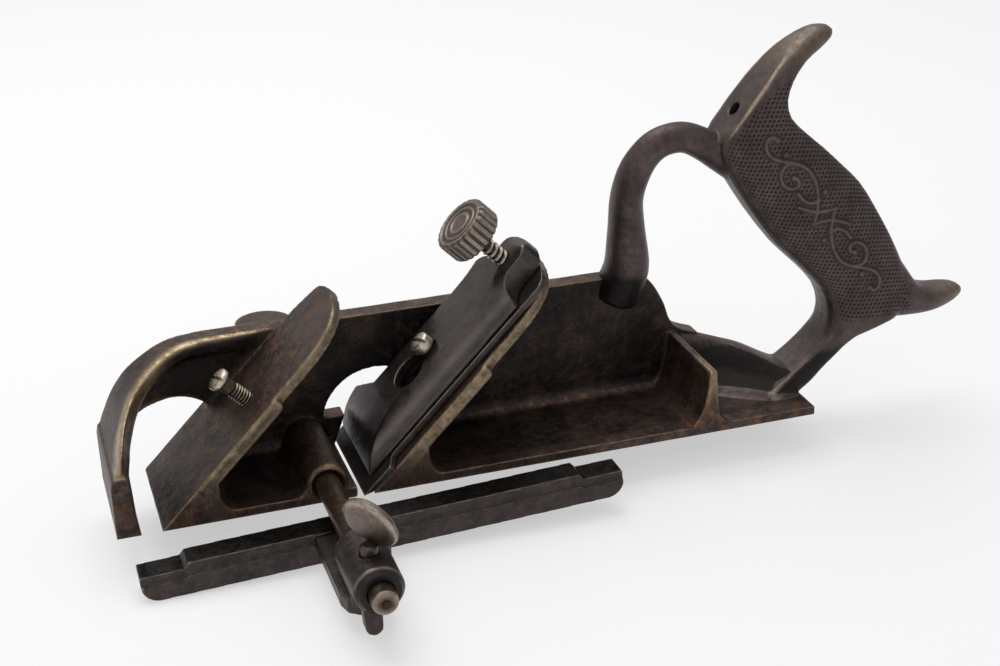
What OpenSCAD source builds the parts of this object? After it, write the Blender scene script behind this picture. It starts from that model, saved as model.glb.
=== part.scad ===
// Cast-iron rabbet and fillister plane: one casting with two beds, a bullnose foot and a closed handle,
// a spade-shaped iron under a lever cap, a bar fence on a round rod and a depth stop on the wall.
// Distances are taken from the nose along +X, from the near (open) side along +Y and from the sole
// along +Z; the last step moves the origin to the centre of the sole.

/* [Sole] */
// Length of the sole from nose to heel
sole_l = 216; // [200:1:236]
// Width of the sole from its open edge to the outside of the wall
sole_w = 38.25; // [36:0.25:42]
// Thickness of the sole plate
sole_t = 2.8; // [2.2:0.1:4]

/* [Side wall] */
// Thickness of the side wall
wall_t = 6.25; // [5:0.25:7.5]
// Height of the side wall
wall_h = 42.5; // [40:0.5:48]
// Radius of the two arches through the wall
arch_r = 16.8; // [15:0.1:18]
// Height of the arch centres above the sole
arch_z = 8; // [7:0.25:9]
// Distance from the nose to the front arch centre
front_arch_x = 21.5; // [20:0.5:23]
// Distance from the nose to the middle arch centre
main_arch_x = 83; // [82:0.5:84]
// Height of the sill under the middle arch
sill_z = 10.5; // [8:0.5:12]

/* [Nose] */
// Length of the bullnose foot
foot_l = 6.8; // [6:0.1:7.5]
// Height of the foot's ground side face
foot_h = 18.5; // [15:0.5:21]
// Length of the curved stretch from the foot to the level wall top
nose_run = 34; // [28:1:38]
// Thickness of the curved strap over the nose
strap_t = 5; // [4:0.25:6]
// Distance from the nose at which the strap leaves the wall
strap_end = 54; // [50:1:58]

/* [Beds] */
// Angle of both beds above the sole
bed_a = 45; // [44:0.5:46]
// Distance from the nose to the front bed's edge
front_bed_x = 12.2; // [11.5:0.1:13]
// Distance from the nose to the main bed's edge
main_bed_x = 73.4; // [72.5:0.1:74.5]
// Distance from the nose to the front lip of the main mouth
mouth_x = 68.8; // [67:0.1:69.5]
// Thickness of the bed plates
bed_t = 3; // [2.5:0.1:3.4]
// Length of the front bed plate up the slope
front_bed_l = 80; // [76:0.5:82]
// Length of the main bed plate up the slope
main_bed_l = 82; // [80:0.5:84]
// Thickness of the ground rib along each bed's open edge
rib_t = 3.8; // [3.5:0.1:5]
// Length of that rib up the slope
rib_l = 49.5; // [44:0.5:54]
// Width of that rib
rib_w = 4; // [3:0.5:6]

// Height of the solid toe of the pockets under the beds
toe_h = 11.3; // [9:0.1:13]
// Radius of the fillet between pocket floor and wall
cove_r = 4; // [2:0.25:6]

/* [Rear rib] */
// Distance from the heel to the middle of the rear rib
rear_rib_back = 35.2; // [33:0.2:37]
// Height of the rear rib
rear_rib_h = 20.8; // [16:0.2:24]
// Thickness of the rear rib at its top
rear_rib_t = 2.4; // [2:0.1:4]

/* [Handle] */
// Thickness of the grip
grip_t = 17.5; // [15:0.5:20]
// Radius of the post at its thinnest
post_r = 4.7; // [4:0.1:5.5]
// Radius of the post's foot
post_foot_r = 7.5; // [6:0.25:8.5]
// Radius of the hanging hole
hang_r = 2.1; // [1.5:0.1:2.5]

/* [Iron] */
// Width of the iron's cutting end beyond each side of the sole
iron_over = 0.5; // [0:0.1:0.8]
// Thickness of the iron
iron_t = 2; // [1.5:0.1:2.4]
// Length of the iron
iron_l = 84; // [78:1:88]
// Length of its wide end
iron_wide_l = 9.5; // [8:0.5:11]
// Width of the narrow part of the iron
iron_body_w = 25; // [24:0.2:27]
// Width of the slot for the cap screw
iron_slot_w = 8; // [7.6:0.1:9]
// Grinding angle of the cutting edge
iron_bevel = 28; // [24:1:32]

/* [Lever cap] */
// Height of the cap's face above the bed
cap_face = 9.5; // [9:0.1:10]
// Height of the cap's head above the bed
cap_head = 11.2; // [10.8:0.1:11.4]
// Thickness of the cap's shell
cap_shell = 3; // [2.2:0.1:3.4]
// Distance from the mouth to the top of the cap's head
cap_l = 84; // [82:0.5:88]
// Width of the cap's body
cap_w = 24.2; // [23.5:0.1:25]
// Width of the cap's head
cap_head_w = 12; // [11:0.5:14]
// Radius of the round end of the keyhole
key_r = 5.8; // [5:0.1:6.2]
// Travel from the keyhole's neck to its round end
key_travel = 9; // [8:0.1:10]

/* [Cap screws] */
// Distance up the bed from the mouth to the cap screws
screw_u = 41.2; // [39:0.2:43]
// Radius of a cap screw's head
screw_head_r = 3.5; // [3:0.1:3.8]
// Radius of a cap screw's shank
screw_r = 2.4; // [2:0.1:2.6]
// Height of a cap screw's head above the bed
screw_top = 14.4; // [12.6:0.1:15]
// Height of the spare screw's head above the front bed
spare_top = 11.7; // [8:0.1:14]
// Height of the spare screw's head itself
spare_head = 2.8; // [2:0.1:4]
// Distance up the bed from the mouth to the knurled screw
knob_u = 75.4; // [74:0.2:76.6]
// Radius of the knurled knob
knob_r = 8.85; // [7:0.05:10]
// Thickness of the knurled knob
knob_t = 7.3; // [5:0.1:9]
// Height of the knob's face above the bed
knob_top = 28.9; // [26:0.1:32]
// Radius of the knurled screw's shank
knob_shank_r = 2.6; // [2:0.1:2.8]
// Number of flutes around the knob
knob_flutes = 24; // [16:1:30]

/* [Fence rod] */
// Distance from the nose to the rod's axis
rod_x = 60.2; // [59.8:0.1:60.6]
// Height of the rod's axis above the sole
rod_z = 5.7; // [5.5:0.1:6.5]
// Radius of the rod
rod_r = 3.6; // [3:0.1:4]
// Length of the rod outside the casting
rod_out = 65; // [62:0.5:80]
// Depth of the rod's socket
socket_depth = 22; // [16:0.5:26]
// Radius of the socket's boss
socket_r = 6.1; // [5.8:0.05:6.6]

/* [Fence] */
// Length of the fence bar
fence_l = 141.5; // [130:0.5:150]
// Distance from the nose to the toe of the fence bar
fence_x = 3.2; // [2:0.2:6]
// Height of the fence bar
fence_h = 9.3; // [8:0.1:11]
// Thickness of the fence bar
fence_t = 9.4; // [7:0.1:10]
// Gap between the casting and the fence bar as it stands
fence_gap = 6.6; // [6:0.1:10]
// Height of the fence bar's top below the sole at the rod
fence_drop = 0.4; // [0.3:0.1:1]
// Angle at which the fence hangs on the rod
fence_pitch = 2.5; // [0:0.1:4]
// Radius of the fence's clamping boss
boss_r = 6.9; // [6.6:0.1:7.4]
// Length of the clamping boss
boss_l = 23; // [19:0.5:26]
// Length of rod that shows beyond the boss
rod_show = 5; // [3:0.5:8]
// Width of the arm between bar and boss
arm_w = 19; // [16:0.5:22]
// Thickness of that arm
arm_t = 4.6; // [3.5:0.1:6]

/* [Thumb screws] */
// Radius of the depth stop's flat thumb disc
disc_r = 8.8; // [7:0.1:10]
// Radius of the fence's flat thumb disc
fence_disc_r = 7.5; // [7:0.1:10]
// Thickness of the thumb disc
disc_t = 3; // [2:0.1:4]
// Radius of a thumb screw's shank
thumb_r = 2.5; // [2:0.1:2.8]
// Height of the disc's centre above its seat
disc_rise = 8.6; // [7.5:0.1:11]
// Turn of the fence thumb disc from the rod's direction
fence_disc_turn = 41.5; // [0:0.5:90]

/* [Depth stop] */
// Distance from the nose to the depth stop's screw
stop_x = 53.7; // [52:0.1:54.5]
// Height of that screw above the sole
stop_screw_z = 35.5; // [34.5:0.25:36]
// Width of the depth stop's slotted plate
stop_w = 12; // [10:0.5:14]
// Thickness of that plate
stop_t = 2.6; // [2:0.1:4]
// Length of the slot
stop_slot = 15; // [12:0.5:18]
// Length of the depth stop's foot
stop_foot_l = 24; // [18:0.5:28]
// Reach of the foot beyond the wall
stop_foot_w = 11; // [8:0.5:14]
// Height of the foot's underside above the sole as it stands
stop_set = 3; // [2:0.5:6]

/* [Fits] */
// Radial running clearance of rods and screws
fit = 0.05; // [0.02:0.01:0.1]
// Gap between seated pieces that slide on each other
seat = 0.3; // [0.2:0.05:0.4]

/* [Hidden] */
$fn = 96;
eps = 0.01;
wall_in = sole_w - wall_t;
mid_y = wall_in / 2;
grip_y = sole_w / 2;
rib_x = sole_l - rear_rib_back;
stop_end_down = 0.5;
facet_a = 48;
hang_back = 22.6;
hang_z = 96.6;
hang_depth = 11.3;
foot_y = wall_in - 0.5;
bed_in = 0.6;
iron_mid = sole_w / 2;
iron_w = sole_w + 2 * iron_over;
toe_l = rib_t / sin(bed_a) + toe_h / tan(bed_a) + 0.5;
cap_lip_u = 3;
key_u = screw_u - key_travel;
rod_in = socket_depth - 1;
boss_y0 = -rod_out + rod_show;
boss_mid = boss_y0 + 10;
bar_y1 = -fence_gap;
bar_y0 = bar_y1 - fence_t;
iron_color = "#3a3630";
screw_color = "#8d867c";

// Catmull-Rom curve through the points p, with n steps between two of them
function spline_at(p, i, t) =
    let(a = p[max(i - 1, 0)], b = p[i], c = p[i + 1], d = p[min(i + 2, len(p) - 1)])
    0.5 * (2 * b + (c - a) * t + (2 * a - 5 * b + 4 * c - d) * t * t
        + (3 * b - a - 3 * c + d) * t * t * t);
function spline(p, n) = [for (i = [0:len(p) - 2], k = [0:n - 1]) spline_at(p, i, k / n), p[len(p) - 1]];

// Superellipse ring of 3-D points round the centre c, half width a along the unit vector u, half width b
// along the unit vector v, with exponent e
function ring(c, u, a, v, b, e, n) = [for (i = [0:n - 1])
    let(t = 360 * i / n, x = cos(t), y = sin(t))
    c + u * a * sign(x) * pow(abs(x), 2 / e) + v * b * sign(y) * pow(abs(y), 2 / e)];

// Closed skin over rings that all have the same number of points
module skin(rings) {
    n = len(rings[0]);
    m = len(rings);
    sides = [for (j = [0:m - 2], i = [0:n - 1]) let(k = (i + 1) % n)
        each [[j * n + i, j * n + k, (j + 1) * n + k], [j * n + i, (j + 1) * n + k, (j + 1) * n + i]]];
    caps = [[for (i = [0:n - 1]) n - 1 - i], [for (i = [0:n - 1]) (m - 1) * n + i]];
    polyhedron([for (r = rings) each r], concat(sides, caps), convexity = 6);
}

// Side profile in X and Z, extruded along +Y from y0 to y1
module side(y0, y1) translate([0, y1, 0]) rotate([90, 0, 0]) linear_extrude(y1 - y0) children();

// Places children on a bed: X runs up the slope from the mouth, Z stands square on the bed
module on_bed(x) translate([x, 0, 0]) rotate([0, -bed_a, 0]) children();

// Moves the finished pieces so that the origin is the centre of the sole
module place() translate([-sole_l / 2, -sole_w / 2, 0]) children();

// Concave fillet of radius r along +Y in the corner at the origin, opening towards +X and +Z
module cove(r, l) difference() {
    translate([-eps, 0, -eps]) cube([r + eps, l, r + eps]);
    translate([r, -1, r]) rotate([-90, 0, 0]) cylinder(r = r, h = l + 2, $fn = 48);
}

nose_h = wall_h - foot_h;
outer_nose = spline([[0.4, foot_h - 3], [nose_run * 0.076, foot_h + nose_h * 0.13],
    [nose_run * 0.195, foot_h + nose_h * 0.455], [nose_run * 0.365, foot_h + nose_h * 0.712],
    [nose_run * 0.665, foot_h + nose_h * 0.946], [nose_run, wall_h]], 8);
inner_nose = [for (p = outer_nose) let(s = max(0, min(1, (p[0] + 2) / nose_run)))
    [p[0] + (foot_l - 1) * (1 - s) + s * 1.5, p[1] - strap_t * pow(s, 0.6)]];

// Outline of the wall, with the curved nose and the sweep down behind the handle's post
wall_rear = spline([[sole_l - 50, wall_h], [sole_l - 43.5, wall_h - 2.6], [sole_l - 38.5, 32],
    [sole_l - 36, 25.3], [sole_l - 32.8, 21.7], [sole_l - 26, 19]], 5);
module wall_outline() polygon(concat([[0, 0]], outer_nose, wall_rear, [[sole_l - 26, 0]]));

// Opening of an arch with its throat: the circle, cut off at the sill and by the bed
module arch(x, sill) intersection() {
    translate([x, arch_z]) circle(r = arch_r);
    translate([x - arch_r, sill]) square([2 * arch_r, 2 * arch_r]);
}
module in_front_of_bed(x) polygon([[x, 0], [x - wall_h, 0], [x - wall_h, wall_h], [x + wall_h / tan(bed_a), wall_h]]);

module side_wall() side(wall_in, sole_w) difference() {
    wall_outline();
    intersection() {
        arch(front_arch_x, -1);
        in_front_of_bed(front_bed_x);
    }
    translate([foot_l, -1]) square([front_bed_x - foot_l, 4]);
    intersection() {
        arch(main_arch_x, sill_z);
        in_front_of_bed(main_bed_x);
    }
    polygon([[mouth_x, -1], [main_bed_x, -1], [main_bed_x, 0],
        [main_bed_x + (sill_z + 1) / tan(bed_a), sill_z + 1], [mouth_x + sill_z * 0.45, sill_z + 1]]);
}

// Curved strap from the wall over the nose to the foot; its open edge sweeps in from the wall
strap_edge = spline([[strap_end, wall_in], [40, wall_in - 0.8], [28.9, wall_in - 2], [17.9, wall_in - 6.5],
    [11, wall_in - 12.2], [6.8, wall_in - 20], [4.3, 2], [3, 0]], 7);
module nose_strap() {
    intersection() {
        side(0, sole_w) polygon(concat([[0, 0], [0, foot_h - 3]], outer_nose, [[strap_end, wall_h]],
            [[strap_end, wall_h - strap_t]], [for (i = [len(inner_nose) - 1:-1:0]) inner_nose[i]], [[foot_l, 0]]));
        linear_extrude(wall_h) polygon(concat(strap_edge, [[0, 0], [0, sole_w], [strap_end, sole_w]]));
    }
    side(0, sole_w) polygon(concat([[0, 0], [0, foot_h - 3], [0.5, foot_h - 0.8]],
        [[2.2, foot_h + 0.4], [foot_l - 2.4, foot_h], [foot_l - 1.5, foot_h - 2], [foot_l - 0.9, foot_h / 3]],
        [[foot_l, 0]]));
}

// Bed plate with its ground rib, seen along the bed's own axes
module bed_plate(x, l) on_bed(x) {
    translate([0, 0, -bed_t]) linear_extrude(bed_t) difference() {
        polygon(concat([[0, 0.4], [rib_l - 4, 0.4]],
            spline([[rib_l - 1, 1.2], [l - 18, 1.6], [l - 13, 2.3], [l - 9, 3.7], [l - 5.5, 6], [l - 2.7, 9.8],
                [l - 1, 14.5], [l - 0.1, 20]], 4),
            spline([[l, wall_in - 9], [l - 1.4, wall_in - 4], [l - 4, wall_in - 1.5],
                [l - 14, wall_in + bed_in]], 4), [[wall_h / sin(bed_a), wall_in + bed_in]],
            [[wall_h / sin(bed_a) - 8, sole_w - 1], [0.2, sole_w - 1]]));
        translate([screw_u, mid_y]) circle(r = screw_r + fit, $fn = 48);
    }
    translate([0, rib_w, 0]) rotate([90, 0, 0]) linear_extrude(rib_w) hull() {
        translate([0, -rib_t]) square([1, rib_t]);
        translate([rib_l - rib_t / 2, -rib_t / 2]) circle(r = rib_t / 2, $fn = 32);
    }
}

// Trims what hangs below the sole
module above_sole() difference() {
    children();
    translate([-10, -10, -20]) cube([sole_l + 60, sole_w + 20, 20]);
}

module sole_plate() {
    for (ends = [[front_bed_x, mouth_x], [main_bed_x, sole_l]]) side(0, sole_w) polygon([[ends[0], 0],
        [ends[1], 0], [ends[1], sole_t], [ends[0] + sole_t / tan(bed_a), sole_t]]);
}

// Solid toe of each pocket, under the bed: a near upright end with a rounded foot
module pocket_toes() {
    for (x = [front_bed_x, main_bed_x]) side(0, wall_in + eps) polygon(concat([[x + 2, 0], [x + toe_l, toe_h]],
        spline([[x + toe_l, toe_h], [x + toe_l + 0.5, sole_t + 4], [x + toe_l + 2.2, sole_t + 0.9],
            [x + toe_l + 5, sole_t]], 4), [[x + toe_l + 5, 0]]));
}

// Fillets between the floor of each pocket and the wall
module pocket_coves() {
    for (ends = [[main_bed_x + toe_l - 2, rib_x], [front_bed_x + toe_l - 2, rod_x - socket_r + 1]])
        translate([ends[0], wall_in, sole_t]) rotate([0, 0, -90]) cove(cove_r, ends[1] - ends[0]);
}

module rear_rib() {
    h = rear_rib_h;
    t = rear_rib_t / 2;
    front = spline([[rib_x - t - 5.6, sole_t - 0.1], [rib_x - t - 2.9, sole_t + 3.1], [rib_x - t - 1.3, h * 0.5],
        [rib_x - t - 0.4, h * 0.73], [rib_x - t, h]], 4);
    back = spline([[rib_x + t, h], [rib_x + t + 0.6, h * 0.6], [rib_x + t + 1.4, sole_t + 3.1],
        [rib_x + t + 4.3, sole_t - 0.1]], 4);
    side(0, wall_in + 1) polygon(concat(front, back));
}

module rod_boss() {
    left = rod_x - socket_r;
    translate([rod_x, wall_in + 1, rod_z]) rotate([90, 0, 0])
        cylinder(r = socket_r, h = wall_in + 1 - 0.6);
    translate([rod_x, 0.6, rod_z]) rotate([90, 0, 0]) cylinder(r1 = socket_r, r2 = socket_r - 0.9, h = 0.9);
    translate([rod_x, 0, 0]) cube([mouth_x - rod_x, wall_in + 1, sole_t + 0.4]);
    side(0.4, wall_in + 1) difference() {
        polygon([[left - 3.6, sole_t - 0.2], [rod_x, sole_t - 0.2], [rod_x, rod_z], [left - 0.2, rod_z + 1]]);
        translate([left - 3.6, sole_t + 3.6]) circle(r = 3.6, $fn = 48);
    }
}

module body_casting() color(iron_color) place() difference() {
    above_sole() {
        side_wall();
        nose_strap();
        sole_plate();
        bed_plate(front_bed_x, front_bed_l);
        bed_plate(main_bed_x, main_bed_l);
        pocket_toes();
        pocket_coves();
        rear_rib();
        rod_boss();
    }
    translate([rod_x, socket_depth, rod_z]) rotate([90, 0, 0]) cylinder(r = rod_r + fit, h = socket_depth + 5);
    translate([rod_x, 1.2, rod_z]) rotate([90, 0, 0]) cylinder(r1 = rod_r + fit, r2 = rod_r + 1.5, h = 1.6);
    translate([stop_x, sole_w + 1, stop_screw_z]) rotate([90, 0, 0]) cylinder(r = thumb_r + fit, h = wall_t + 2);
}

// Round post that rises from the wall and leans over to the middle, ending in the grip's front
post_path = spline([[sole_l - 53.6, foot_y + 3.5, wall_h - 7.5], [sole_l - 51.6, foot_y + 1, wall_h + 0.5],
    [sole_l - 51.4, foot_y - 0.5, wall_h + 6], [sole_l - 52.8, foot_y - 3, wall_h + 18],
    [sole_l - 54.2, foot_y - 6.3, wall_h + 28], [sole_l - 53.4, grip_y + 3, wall_h + 36.5],
    [sole_l - 50.7, grip_y + 1.2, wall_h + 42.6], [sole_l - 46.3, grip_y + 0.3, wall_h + 46.4],
    [sole_l - 39.6, grip_y, wall_h + 47.4], [sole_l - 33.6, grip_y, wall_h + 45],
    [sole_l - 26, grip_y, wall_h + 40], [sole_l - 18, grip_y, wall_h + 33]], 3);
post_radii = spline([for (r = [post_foot_r + 0.2, post_foot_r - 0.1, post_foot_r - 0.5, post_r + 1.1,
    post_r + 0.5, post_r + 0.4, post_r + 0.1, post_r, post_r, post_r + 0.2, post_r + 0.6, post_r]) [r, 0]], 3);
module post() {
    last = len(post_path) - 1;
    skin([for (i = [0:last])
        let(d = post_path[min(i + 1, last)] - post_path[max(i - 1, 0)], t = d / norm(d),
            v = cross(t, [t[2], 0, -t[0]]), w = v / norm(v), r = post_radii[i][0])
        ring(post_path[i], w, r, cross(w, t), r, 2, 16)]);
}

// One station of the grip: the point on its front edge, the point on its back edge, both from the heel,
// and the thickness there as a share of the grip's
grip_stations = spline([
    [6.2, 119.2, 8.2, 117.6, 0.16, 2.2], [2.2, 119.4, 7.6, 115.4, 0.4, 2.4], [-2.6, 117.5, 3.4, 112.6, 0.58, 2.8],
    [-8.2, 113.4, -2, 109.6, 0.76, 3.4], [-13.8, 107.4, -6.4, 104.6, 0.9, 4.4], [-19.4, 100.8, -8, 99.2, 0.96, 5],
    [-25, 94, -6.2, 93.4, 1, 5], [-29.6, 88.2, -0.4, 87.8, 1, 4.6], [-29, 82.4, 6, 82.4, 1, 4],
    [-24.5, 75, 12.8, 76.2, 1, 3.4], [-17.2, 63.9, 19.6, 69.6, 1, 3.2], [-8.3, 52.3, 25.4, 61.2, 1, 3.2],
    [1.2, 43, 31.4, 51.2, 1, 3.2], [8, 35.3, 36.8, 40.8, 1, 3.2], [10.6, 28.4, 40.4, 32, 1, 3.4],
    [10.4, 23, 35.6, 22.6, 1, 3.6], [8.4, 18.8, 21, 18.8, 1, 4], [5.2, 15.2, 13, 13, 1, 4.4],
    [0.8, 11.8, 8, 8.6, 1, 4.6], [-4, 8.4, 4.6, 5, 1, 4.6], [-9, 4.4, -1, 1, 0.98, 4.6]], 2);
module grip() skin([for (s = grip_stations)
    let(f = [sole_l + s[0], grip_y, s[1]], b = [sole_l + s[2], grip_y, s[3]], d = b - f)
    ring((f + b) / 2, d / norm(d), norm(d) / 2, [0, 1, 0], grip_t / 2 * s[4], s[5], 24)]);

// Stations of the rear horn: upper point and lower point from the heel, and the share of thickness
horn_stations = spline([[30, 50, 26, 22.5, 0.9], [37.6, 40, 34.6, 21.2, 0.92], [43.4, 32.2, 42, 21.2, 0.88],
    [49, 29.8, 48.8, 21.3, 0.78], [54.6, 29.6, 54.4, 22.2, 0.6], [58.8, 29, 58.6, 23.6, 0.42],
    [61.4, 27.4, 61.2, 25, 0.22]], 3);
module rear_horn() skin([for (s = horn_stations)
    let(f = [sole_l + s[0], grip_y, s[1]], b = [sole_l + s[2], grip_y, s[3]], d = b - f)
    ring((f + b) / 2, [0, 1, 0], grip_t / 2 * s[4], d / norm(d), norm(d) / 2, 2.6, 16)]);

// Web that sweeps from the wall to the middle of the heel, each station with its distance from the heel,
// the near and far side of its crest, the crest's height and the near and far edge of its spread base
web_stations = spline([[-36.5, wall_in + 0.2, sole_w, 24.4, wall_in - 6, sole_w],
    [-32, wall_in - 0.4, sole_w, 21, wall_in - 10, sole_w],
    [-26, wall_in - 2, sole_w - 1.4, 18.4, wall_in - 15, sole_w - 0.3],
    [-19, wall_in - 5, sole_w - 4.5, 16.6, wall_in - 20, sole_w - 0.3],
    [-12, grip_y + 2, grip_y + 12.5, 14.4, 8, sole_w - 0.5],
    [-5, grip_y - 5, grip_y + 8.9, 11.2, 7, sole_w - 3],
    [-0.4, grip_y - 8, grip_y + 8.6, 9.4, 8, sole_w - 5]], 3);
module web() skin([for (s = web_stations)
    let(x = sole_l + s[0], h = s[3], n = s[1] - s[4], f = s[5] - s[2])
    [[x, s[4], sole_t - 1], [x, s[4], sole_t + 0.1], [x, s[4] + n * 0.45, sole_t + (h - sole_t) * 0.1],
        [x, s[4] + n * 0.8, sole_t + (h - sole_t) * 0.38], [x, s[1] - 0.3, h - 2.6], [x, s[1] + 0.9, h - 0.4],
        [x, (s[1] + s[2]) / 2, h], [x, s[2] - 0.9, h - 0.4], [x, s[2] + 0.2 * f, h - 2.6],
        [x, s[2] + f * 0.4, sole_t + (h - sole_t) * 0.3], [x, s[5], sole_t + 0.1], [x, s[5], sole_t - 1]]]);

// The lofts are joined as one mesh; the hanging hole is square to the grip's flat front facet
module handle() color(iron_color) place() difference() {
    resize([0, 0, 0]) union() {
        post();
        grip();
        rear_horn();
        web();
    }
    translate([sole_l - hang_back, grip_y, hang_z]) rotate([0, 180 - facet_a, 0]) translate([0, 0, -10])
        cylinder(r = hang_r, h = 10 + hang_depth, $fn = 48);
}

// Spade-shaped iron: wide cutting end, shoulders, narrow slotted body with a round top
module cutting_iron() color("#4a4641") place() on_bed(main_bed_x) difference() {
    tip = -iron_t - seat;
    near = mid_y - iron_body_w / 2;
    far = mid_y + iron_body_w / 2;
    translate([0, 0, seat]) linear_extrude(iron_t) difference() {
        polygon(concat([[tip, iron_mid - iron_w / 2], [iron_wide_l, iron_mid - iron_w / 2]],
            [[iron_wide_l + 2.5, near], [tip + iron_l - 6, near]],
            [for (t = [0:15:180]) [tip + iron_l - 6 + 6 * sin(t), mid_y - cos(t) * iron_body_w / 2]],
            [[iron_wide_l + 8, far], [iron_wide_l, iron_mid + iron_w / 2], [tip, iron_mid + iron_w / 2]]));
        hull() {
            translate([screw_u - 14, mid_y]) circle(d = iron_slot_w, $fn = 48);
            translate([screw_u + 18, mid_y]) circle(d = iron_slot_w, $fn = 48);
        }
    }
    translate([tip, -5, seat + iron_t]) rotate([0, iron_bevel, 0]) translate([-20, 0, -20]) cube([60, sole_w + 10, 20]);
}

// Side view of the lever cap, from the lip on the iron up to the rounded head
cap_rest = iron_t + 2 * seat;
cap_near = mid_y + 0.3 - cap_w / 2;
cap_far = mid_y + 0.3 + cap_w / 2;
cap_neck = cap_l - 16;
module cap_profile() polygon(concat(
    [[cap_lip_u, cap_rest], [cap_lip_u, cap_rest + 0.6]],
    spline([[cap_lip_u + 0.3, cap_rest + 1], [cap_lip_u + 5, cap_face - 3], [cap_lip_u + 10, cap_face - 1.2],
        [cap_lip_u + 18, cap_face]], 4),
    spline([[cap_neck - 12, cap_face], [cap_neck - 4, cap_face + 0.3], [cap_neck + 4, cap_head - 0.3],
        [cap_l - 8, cap_head]], 4),
    [for (t = [0:15:90]) [cap_l - 4 + 4 * sin(t), cap_head - 4 + 4 * cos(t)]],
    [[cap_l, cap_rest + 1.5], [cap_l - 2, cap_rest]]));

// Section of the cap across the bed, rounded over on its near side
module cap_section() polygon(concat([[cap_near - 0.5, cap_rest], [cap_near - 0.5, 3.4]],
    spline([[cap_near, 4.4], [cap_near + 1.1, 6.3], [cap_near + 2.8, 8], [cap_near + 5.4, 9.5],
        [cap_near + 9, 10.8], [cap_near + 14, 11.5]], 4), [[sole_w, 11.5], [sole_w, cap_rest]]));

module cap_plan() {
    half = cap_head_w / 2;
    near = mid_y - half;
    far = mid_y + half;
    polygon(concat([[cap_lip_u, cap_near - 0.5]],
        spline([[cap_neck, cap_near], [cap_neck + 0.9, cap_near + 1.2], [cap_neck + 2, near - 2.6],
            [cap_neck + 3.8, near - 0.9], [cap_neck + 6.6, near], [cap_l - half, near]], 4),
        [for (t = [15:15:180]) [cap_l - half + half * sin(t), mid_y - cos(t) * half]],
        spline([[cap_neck + 7, far + 0.4], [cap_neck + 4.6, far + 2.4], [cap_neck + 3, cap_far - 1.6],
            [cap_neck + 1, cap_far]], 4),
        [[21.3, cap_far], [15.6, sole_w - 1.2], [cap_lip_u + 1, sole_w - 0.6], [cap_lip_u, sole_w - 1.6]]));
}

module lever_cap() color("#39352f") place() on_bed(main_bed_x) difference() {
    intersection() {
        side(0, sole_w) cap_profile();
        rotate([90, 0, 90]) linear_extrude(cap_l + 1) cap_section();
        linear_extrude(cap_head + 1) cap_plan();
    }
    translate([cap_lip_u + 8, cap_near + 3.4, 0])
        cube([cap_neck - cap_lip_u - 12, cap_w - 6.8, cap_face - cap_shell]);
    translate([key_u, mid_y, 0]) cylinder(r = key_r, h = 20, $fn = 64);
    translate([key_u, mid_y - screw_r - 0.4, 0]) cube([key_travel, 2 * screw_r + 0.8, 20]);
    translate([screw_u, mid_y, 0]) cylinder(r = screw_r + 0.4, h = 20, $fn = 48);
    translate([knob_u, mid_y, 0]) cylinder(r = knob_shank_r + fit, h = 20, $fn = 48);
}

// Slotted screw with a domed head; it stands on the bed with its shank through the plate
module cap_screw(top, head) {
    dome = 0.9;
    difference() {
        rotate_extrude() polygon(concat([[0, -bed_t - 1.6], [screw_r - 0.5, -bed_t - 1.6], [screw_r, -bed_t - 1]],
            [[screw_r, top - head], [screw_head_r - 0.4, top - head], [screw_head_r, top - head + 0.4]],
            [for (t = [0:15:75]) [screw_head_r * cos(t), top - dome + dome * sin(t)]], [[0, top]]));
        translate([-0.6, -screw_head_r - 1, top - 1.5]) cube([1.2, 2 * screw_head_r + 2, 3]);
    }
}
module main_cap_screw() color(screw_color) place() on_bed(main_bed_x) translate([screw_u, mid_y, 0])
    rotate([0, 0, 62]) cap_screw(screw_top, screw_top - cap_face - seat);
module front_cap_screw() color(screw_color) place() on_bed(front_bed_x) translate([screw_u, mid_y, 0])
    rotate([0, 0, 20]) cap_screw(spare_top, spare_head);

// Knurled screw that presses the cap's head away from the iron
module cap_thumb_screw() color(screw_color) place() on_bed(main_bed_x) translate([knob_u, mid_y, 0]) {
    intersection() {
        translate([0, 0, knob_top - knob_t]) linear_extrude(knob_t) difference() {
            circle(r = knob_r);
            for (i = [0:knob_flutes - 1]) rotate(i * 360 / knob_flutes) translate([knob_r + 0.35, 0])
                circle(r = 0.85, $fn = 16);
        }
        rotate_extrude() polygon([[0, knob_top - knob_t], [knob_r - 0.9, knob_top - knob_t],
            [knob_r, knob_top - knob_t + 0.9], [knob_r, knob_top - 0.9], [knob_r - 0.9, knob_top], [0, knob_top]]);
    }
    rotate_extrude() polygon([[0, cap_rest], [knob_shank_r - 0.7, cap_rest], [knob_shank_r, cap_rest + 0.7],
        [knob_shank_r, knob_top - knob_t - 2], [knob_shank_r + 1, knob_top - knob_t - 1.6],
        [knob_shank_r + 1, knob_top - knob_t + 0.1], [0, knob_top - knob_t + 0.1]]);
}

module fence_rod() color("#45403a") place() translate([rod_x, rod_in, rod_z]) rotate([90, 0, 0]) {
    l = rod_in + rod_out;
    difference() {
        rotate_extrude() polygon(concat([[0, 0], [rod_r - 0.6, 0], [rod_r, 0.6]],
            [for (t = [0:15:75]) [rod_r - 1.2 + 1.2 * cos(t), l - 1.2 + 1.2 * sin(t)]], [[rod_r - 1.6, l], [0, l]]));
        translate([0, 0, l - 0.8]) cylinder(r1 = 0.2, r2 = 1.1, h = 0.9, $fn = 24);
    }
}

// Hangs a piece on the rod at the fence's pitch, with Z measured from the rod's axis
module on_rod() place() translate([rod_x, 0, rod_z]) rotate([0, -fence_pitch, 0]) children();

fence_top = -rod_z - fence_drop;
bar_x0 = fence_x - rod_x;
fence_low = 1.7;
end_step = 12;
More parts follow.
